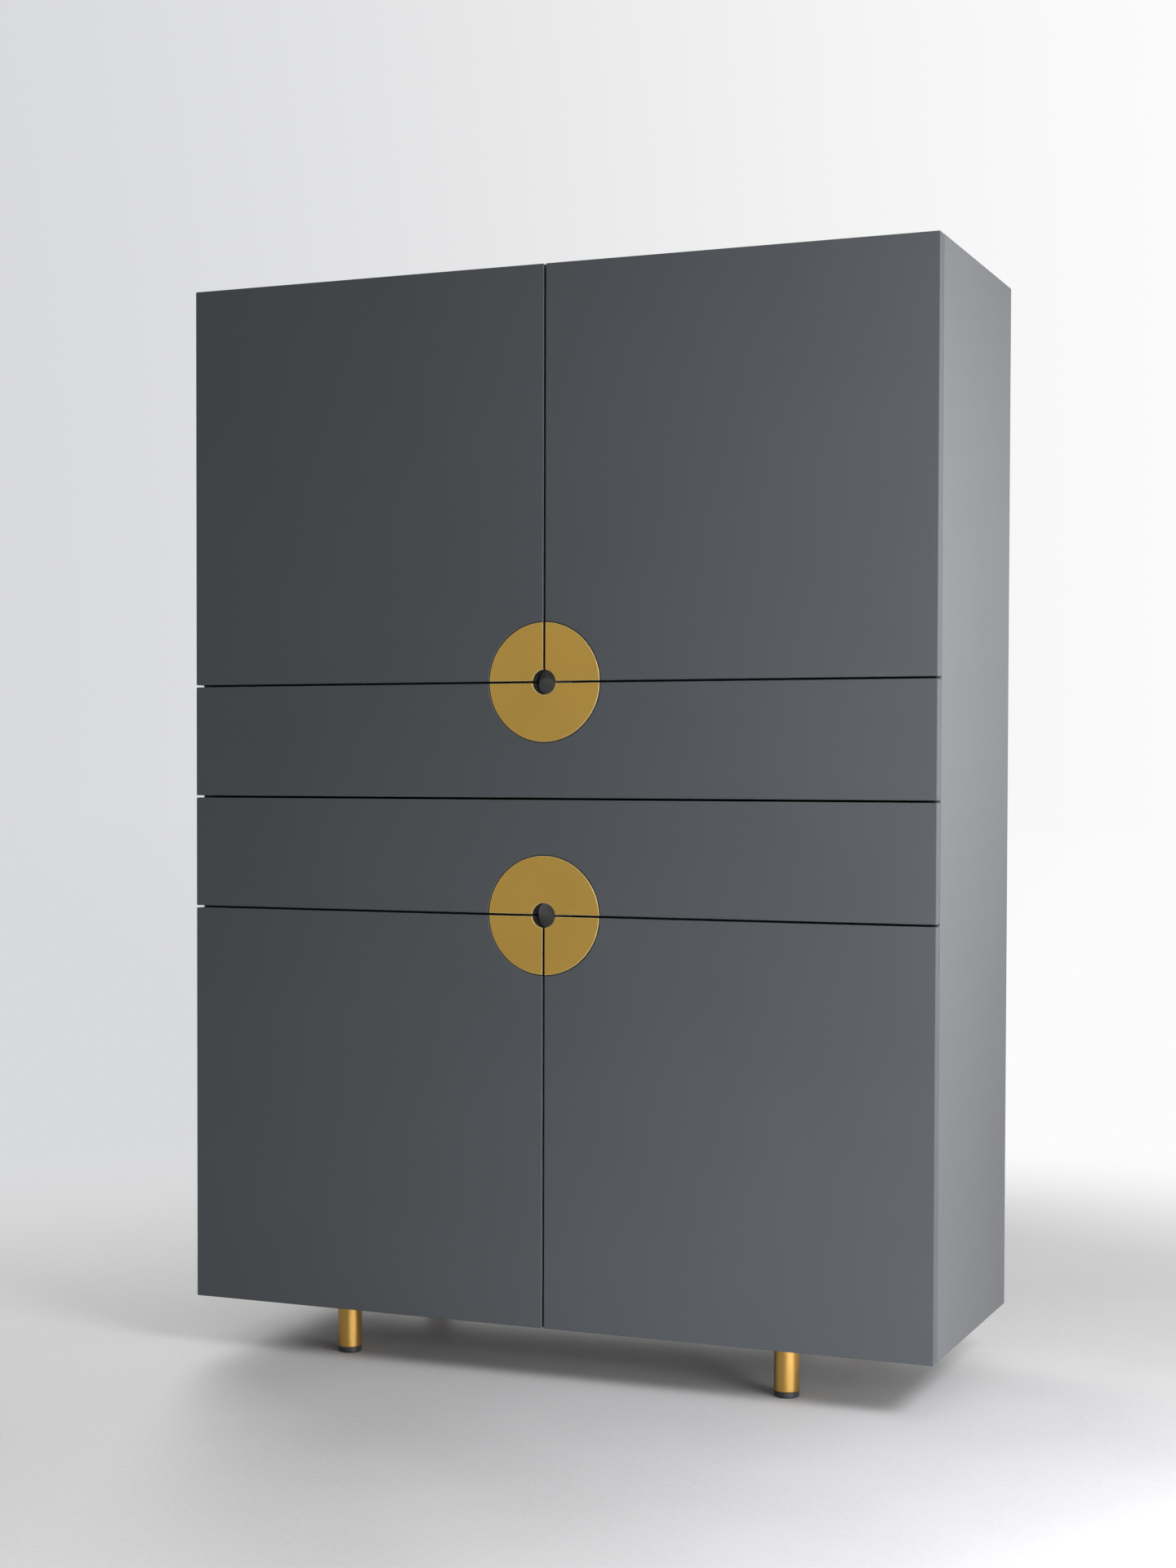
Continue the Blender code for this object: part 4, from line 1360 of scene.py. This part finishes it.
@dataclass
class Hinges:
    """The concealed hinges: a cranked arm on the side panel and a cup with its pin in the door.

    A screw is the radius and the height of its head.
    """

    cup_radius: float = 0.0175
    cup_wall: float = 0.0008
    cup_inset: float = 0.0142
    door_back: float = 0.0096
    cup_depth: float = 0.0127
    cup_round: float = 0.0025
    cup_steps: tuple[int, int] = (6, 6)
    cup_segments: int = 64
    mouth_gap: float = 0.0002
    mouth_steps: int = 16
    wing_width: float = 0.016
    wing_length: float = 0.056
    wing_thickness: float = 0.0008
    wing_corner: float = 0.005
    wing_steps: int = 6
    wing_edge: float = 0.00025
    seat: float = 0.0003
    screw_place: float = 0.0225
    pin_radius: float = 0.001
    pin_half: float = 0.0082
    pin_segments: int = 24
    knuckle_radius: float = 0.0019
    knuckle_half: float = 0.0035
    knuckle_edge: float = 0.0002
    knuckle_segments: int = 32
    bore_radius: float = 0.0012
    strap: float = 0.0025
    strap_width: float = 0.008
    strap_edge: float = 0.0004
    knee: float = 0.0205
    knee_round: float = 0.0009
    knee_steps: int = 5
    strap_end: float = 0.0206
    panel_face: float = 0.0133
    plate_thickness: float = 0.003
    plate_middle: float = 0.0486
    plate_depth: float = 0.018
    plate_length: float = 0.050
    plate_corner: float = 0.006
    plate_corner_steps: int = 8
    plate_edge: float = 0.0007
    plate_edge_steps: int = 4
    body_front: float = 0.0176
    body_length: float = 0.058
    body_width: float = 0.013
    body_far: float = 0.02175
    body_corner: float = 0.0016
    body_edge: float = 0.0012
    body_steps: int = 5
    screw_spacing: float = 0.032
    body_screw_back: float = 0.008
    screw_sink: float = 0.0001
    plate_screw: Pair = (0.0038, 0.0014)
    body_screw: Pair = (0.0034, 0.0010)
    cup_screw: Pair = (0.0033, 0.0007)
    screw_grid: tuple[int, int] = (22, 72)
    dome_fall: float = 0.55
    cross_arm: float = 0.16
    cross_reach: float = 0.58
    cross_rim: float = 1.25
    cross_slope: float = 0.35
    cross_depth: float = 0.62

    def screw_head(self, radius: float, height: float) -> Surface:
        """A pan head with a cross recess: height is a low dome less a cross-shaped pit, both
        as functions of radius and angle on a polar grid.

        Args:
            radius: The head's radius.
            height: The dome's height.

        Returns:
            The head on the plane of the first two axes.
        """
        rows, columns = self.screw_grid
        r = np.linspace(0, 1, rows)[:, None] * radius
        turn = np.arange(columns)[None] * (2 * math.pi / columns)
        x, y = r * np.cos(turn), r * np.sin(turn)
        fall = self.dome_fall * (r / radius) ** 2
        dome = height * np.sqrt(np.clip(1 - fall, 0, 1)) + 0 * turn
        arm, reach = self.cross_arm * radius, self.cross_reach * radius
        level = np.maximum(np.abs(x) / reach, np.abs(y) / arm)
        upright = np.maximum(np.abs(x) / arm, np.abs(y) / reach)
        within = (self.cross_rim - np.minimum(level, upright)) / self.cross_slope
        pit = np.clip(within, 0, 1) * self.cross_depth * height
        top = np.stack([x, y, dome - pit], axis=-1)
        skirt = np.stack([x[-1], y[-1], np.zeros(columns)], axis=-1)[None]
        base = np.zeros((1, columns, 3))
        return Surface().grid(np.concatenate([top, skirt, base]))

    def strap_plate(self) -> Surface:
        """The arm's strap about its pin: a plate that turns a round knee.

        Returns:
            The strap, its second axis to the back.
        """
        half, back, knee, end = self.strap / 2, self.knee - self.strap, self.knee, self.strap_end
        corners = [[0.0, -half], [knee, -half], [knee, end], [back, end], [back, half], [0.0, half]]
        outline = round_corners(corners, self.knee_round, self.knee_steps)
        down = Matrix.Translation((0, 0, -self.strap_width / 2))
        return Surface().plate(outline, self.strap_width, self.strap_edge).moved(down)

    def arm(self) -> Surface:
        """The arm about its pin: strap with a round knee, knuckle, channel body, plate, screws.

        Its first axis points inwards from the side panel, its second to the back, its third up.

        Returns:
            The arm about the pin.
        """
        surface = self.strap_plate()
        k, b, h, e = self.knuckle_radius, self.bore_radius, self.knuckle_half, self.knuckle_edge
        knuckle = [[b, -h], [k - e, -h], [k, -h + e], [k, h - e], [k - e, h], [b, h], [b, -h]]
        surface.join(Surface().turned(np.array(knuckle), self.knuckle_segments))
        near, far = self.panel_face + self.plate_thickness / 2, self.body_far
        middle, steps = self.plate_middle, self.body_steps
        body = round_corners(rectangle(far - near, self.body_length), self.body_corner, steps)
        at = ((near + far) / 2, self.body_front + self.body_length / 2, -self.body_width / 2)
        channel = Surface().plate(body, self.body_width, self.body_edge, steps)
        surface.join(channel.moved(Matrix.Translation(at)))
        outline = round_corners(rectangle(self.plate_depth, self.plate_length), self.plate_corner,
                                self.plate_corner_steps)
        thickness, steps = self.plate_thickness, self.plate_edge_steps
        plate = Surface().plate(outline, thickness, self.plate_edge, steps)
        surface.join(plate.moved(axes_matrix((self.panel_face, middle, 0), *INWARDS)))
        top = self.panel_face + thickness - self.screw_sink
        screws = [((top, middle, end * self.screw_spacing / 2), self.plate_screw)
                  for end in (-1, 1)]
        screws.append(((far - self.screw_sink, middle + self.body_screw_back, 0), self.body_screw))
        for place, size in screws:
            surface.join(self.screw_head(*size).moved(axes_matrix(place, *INWARDS)))
        return surface

    def cup(self) -> Surface:
        """The cup about its pin: a pressed bowl, a wing plate with a round mouth, pin, screws.

        Returns:
            The cup about the pin, on the arm's axes.
        """
        radius, wall = self.cup_radius, self.cup_wall
        low = self.door_back + self.seat
        high = low + self.wing_thickness
        floor = self.door_back - self.cup_depth
        profile = bowl(radius, wall, floor, high, self.cup_round, self.cup_steps)
        at = facing((self.cup_inset, 0, 0))
        surface = Surface().turned(profile, self.cup_segments).moved(at)
        for end in (-1, 1):
            wing_at = at @ Matrix.Translation((0, 0, low))
            surface.join(self.wing(radius - wall + self.mouth_gap, end).moved(wing_at))
            screw_at = at @ Matrix.Translation((0, end * self.screw_place, high - self.screw_sink))
            surface.join(self.screw_head(*self.cup_screw).moved(screw_at))
        r, h = self.pin_radius, self.pin_half
        pin = np.array([[0, -h], [r, -h], [r, h], [0, h]])
        return surface.join(Surface().turned(pin, self.pin_segments))

    def wing(self, mouth: float, end: int) -> Surface:
        """One wing of the cup's flange: the mouth's arc, straight flanks and a round end.

        Args:
            mouth: The mouth's radius.
            end: 1 for the upper wing, -1 for the lower.

        Returns:
            The wing about the cup's axis.
        """
        half, length, steps = self.wing_width / 2, self.wing_length / 2, self.wing_steps
        tilt = math.acos(half / mouth)
        inside = arc((0, 0), mouth, math.pi - tilt, tilt, self.mouth_steps)
        box = np.array([[half, 0.0], [half, length], [-half, length], [-half, 0.0]])
        tip = round_corners(box, self.wing_corner, steps)[steps + 1:3 * (steps + 1)]
        wing = Surface().plate(np.concatenate([tip, inside]), self.wing_thickness, self.wing_edge)
        return wing.moved(Matrix.Diagonal((1, end, 1, 1)))

    def build(self) -> None:
        """Makes the eight hinges where the solids' pins are."""
        for joint in frame["joints"]:
            if not joint["name"].endswith("_hinge"):
                continue
            x, y, _ = joint["pos_m"]
            body = joint["child"]
            for end in ("bottom", "top"):
                place = f"{body.removeprefix('door_')}_{end}"
                arm, cup = f"hinge_arm_{place}", f"hinge_cup_{place}"
                low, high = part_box(arm)
                pin = (x, y, (low.z + high.z) / 2)
                matrix = axes_matrix(pin, (-1 if x > 0 else 1, 0, 0), (0, 1, 0), (0, 0, 1))
                Workshop.piece(f"{arm}_steel", self.arm().moved(matrix), NICKEL, node=arm)
                Workshop.piece(f"{cup}_steel", self.cup().moved(matrix), NICKEL, body, cup)


@dataclass
class Bumpers:
    """Grey rubber buttons on the doors' backs, one in each door's free corner."""

    radius: float = 0.004
    height: float = 0.0016
    inset: float = 0.012
    steps: int = 8
    segments: int = 32

    def build(self) -> None:
        """A low dome at the outer end of each door's free edge: radius and height times the
        cosine and sine of even angles up to a quarter turn."""
        dome = arc((0, 0), 1.0, 0, math.pi / 2, self.steps) * (self.radius, self.height)
        profile = np.concatenate([[[0, 0]], dome])
        for row in Row:
            for side in Side:
                name = f"door_{row.word}_{side.word}"
                low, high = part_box(name)
                free = min(abs(low.x), abs(high.x)) + self.inset
                outer = high.z - self.inset if row is Row.UPPER else low.z + self.inset
                matrix = facing((side.value * free, high.y, outer))
                button = Surface().turned(profile, self.segments).moved(matrix)
                Workshop.piece(f"{name}_bumper", button, BUMPER_RUBBER, name)


# The studio


@dataclass(frozen=True)
class Lamp:
    """A soft rectangular lamp that faces a point."""

    name: str
    place: Triple
    aim: Triple
    size: Pair
    power: float
    colour: Triple = (1.0, 1.0, 1.0)
    spread: float = 180.0

    def build(self) -> None:
        """Hangs the lamp."""
        data = bpy.data.lights.new(self.name, "AREA")
        data.shape = "RECTANGLE"
        data.size, data.size_y = self.size
        data.energy = self.power
        data.color = self.colour
        data.spread = math.radians(self.spread)
        lamp = bpy.data.objects.new(self.name, data)
        bpy.context.scene.collection.objects.link(lamp)
        lamp.location = self.place
        lamp.visible_camera = False
        direction = Vector(self.aim) - Vector(self.place)
        lamp.rotation_euler = direction.to_track_quat("-Z", "Y").to_euler()


DAYLIGHT: Triple = (0.95, 0.955, 1.0)
LAMPS = (
    Lamp("window_side", (3.2, 2.9, 1.10), (0.55, 0.0, 0.80), (3.2, 2.1), 52.0, (1.0, 0.98, 0.975)),
    Lamp("window_high", (1.65, -0.92, 1.48), (0.1, -0.2, 0.88), (0.9, 0.6), 32.0, DAYLIGHT),
    Lamp("window_low", (1.65, -0.92, 0.28), (0.1, -0.2, 0.50), (0.9, 0.4), 25.0, DAYLIGHT),
    Lamp("front_fill", (1.22, -3.50, 1.80), (0.0, -0.2, 0.80), (0.3, 0.25), 5.2),
    Lamp("front_low", (0.85, -1.50, 0.08), (-0.05, -0.2, 0.10), (0.7, 0.12), 0.65, spread=54.0),
    Lamp("rear_fill", (-3.0, 3.0, 2.1), (-0.2, 0.1, 0.80), (2.6, 1.9), 110.0),
)


@dataclass
class Studio:
    """The floor, the pale surroundings, the lamps and the camera."""

    floor_size: float = 60.0
    floor_paint: Finish = Lacquer("floor_paint", "", (0.60, 0.595, 0.59), 0.62, grain=120.0)
    floor_fade: Pair = (0.75, 2.3)
    ambient: float = 0.06
    zenith: float = 0.72
    zenith_turn: Pair = (0.55, 0.95)
    backdrop_left: Triple = (0.69, 0.695, 0.71)
    backdrop_right: Triple = (0.97, 0.97, 0.97)
    backdrop_turn: Pair = (-0.62, -0.10)
    frame_height: float = 1920.0
    frame_width: float = 1440.0
    sensor: float = 36.0
    focal_pixels: float = 3015.1
    centre_pixel: Pair = (702.4, 1021.6)
    camera_place: Triple = (1.3324, -3.3069, 0.8444)
    yaw: float = 22.552
    pitch: float = -1.491
    roll: float = 0.140

    def build(self) -> None:
        """Sets up everything that isn't the object."""
        self.floor()
        self.surroundings()
        for lamp in LAMPS:
            lamp.build()
        self.camera()
        bpy.context.scene.view_settings.view_transform = "Standard"

    def floor(self) -> None:
        """A wide plain floor that fades into the backdrop far away."""
        half = self.floor_size / 2
        mesh = bpy.data.meshes.new("floor")
        corners = [(-half, -half, 0), (half, -half, 0), (half, half, 0), (-half, half, 0)]
        mesh.from_pydata(corners, [], [(0, 1, 2, 3)])
        floor = bpy.data.objects.new("floor", mesh)
        bpy.context.scene.collection.objects.link(floor)
        paint = self.floor_paint.material()
        mesh.materials.append(paint)
        tree = Tree(paint.node_tree)
        place = tree.node("ShaderNodeTexCoord").outputs["Object"]
        reach = tree.node("ShaderNodeVectorMath", {0: place}, operation="LENGTH").outputs["Value"]
        far = tree.smooth(reach, self.floor_fade, "SMOOTHERSTEP")
        seen = tree.node("ShaderNodeLightPath").outputs["Is Camera Ray"]
        way = tree.node("ShaderNodeVectorMath", {0: place}, operation="NORMALIZE").outputs[0]
        glow = tree.node("ShaderNodeEmission", {"Color": self.backdrop(tree, way)}).outputs[0]
        share = tree.math("MULTIPLY", far, seen)
        nodes = paint.node_tree.nodes
        inputs = {0: share, 1: nodes["Principled BSDF"].outputs[0], 2: glow}
        mixed = tree.node("ShaderNodeMixShader", inputs).outputs[0]
        tree.feed(nodes["Material Output"].inputs["Surface"], mixed)

    def backdrop(self, tree: Tree, way: Socket) -> Socket:
        """The backdrop's colour along a direction: it pales smoothly from left to right.

        Args:
            tree: The tree that the nodes go into.
            way: The direction's socket.

        Returns:
            The colour's socket.
        """
        across = tree.node("ShaderNodeSeparateXYZ", {0: way}).outputs["X"]
        share = tree.smooth(across, self.backdrop_turn, "SMOOTHSTEP")
        return tree.blend(share, (*self.backdrop_left, 1.0), (*self.backdrop_right, 1.0))

    def surroundings(self) -> None:
        """A pale backdrop for the eye and for reflections, a softer even light for the rest."""
        world = bpy.data.worlds.new("studio")
        bpy.context.scene.world = world
        world.use_nodes = True
        tree = Tree(world.node_tree)
        back = world.node_tree.nodes["Background"]
        rays = tree.node("ShaderNodeLightPath").outputs
        bent = tree.math("MAXIMUM", rays["Is Glossy Ray"], rays["Is Transmission Ray"])
        seen = tree.math("MAXIMUM", rays["Is Camera Ray"], bent)
        way = tree.node("ShaderNodeTexCoord").outputs["Generated"]
        height = tree.node("ShaderNodeSeparateXYZ", {0: way}).outputs["Z"]
        above = tree.span(height, self.ambient, self.zenith, *self.zenith_turn)
        even = tree.math("MULTIPLY", tree.math("SUBTRACT", 1.0, seen), above)
        tree.feed(back.inputs["Strength"], tree.math("ADD", seen, even))
        tree.feed(back.inputs["Color"], self.backdrop(tree, way))

    def camera(self) -> None:
        """The camera at the photograph's viewing angle, from a fit of the object's corners."""
        data = bpy.data.cameras.new("camera")
        camera = bpy.data.objects.new("camera", data)
        bpy.context.scene.collection.objects.link(camera)
        data.sensor_width = self.sensor
        data.lens = self.focal_pixels / self.frame_height * self.sensor
        data.shift_x = (self.frame_width / 2 - self.centre_pixel[0]) / self.frame_height
        data.shift_y = (self.centre_pixel[1] - self.frame_height / 2) / self.frame_height
        yaw, pitch, roll = (math.radians(angle) for angle in (self.yaw, self.pitch, self.roll))
        level = math.cos(pitch)
        forward = Vector((-math.sin(yaw) * level, math.cos(yaw) * level, math.sin(pitch)))
        right = Vector((math.cos(yaw), math.sin(yaw), 0))
        up = right.cross(forward)
        rolled_right = math.cos(roll) * right + math.sin(roll) * up
        rolled_up = -math.sin(roll) * right + math.cos(roll) * up
        camera.matrix_world = axes_matrix(self.camera_place, rolled_right, rolled_up, -forward)
        bpy.context.scene.camera = camera


def main() -> None:
    """Builds the studio and the sub-assemblies in order."""
    logging.basicConfig(level=logging.INFO, format="%(name)s: %(message)s")
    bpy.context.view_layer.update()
    Studio().build()
    boards = Carcass()
    boards.build()
    Fronts().build()
    Discs().build()
    Drawers().build(boards)
    Hinges().build()
    Bumpers().build()
    Feet().build()
    LOG.info("%d pieces", len(Workshop.made))


if __name__ == "__main__":
    main()
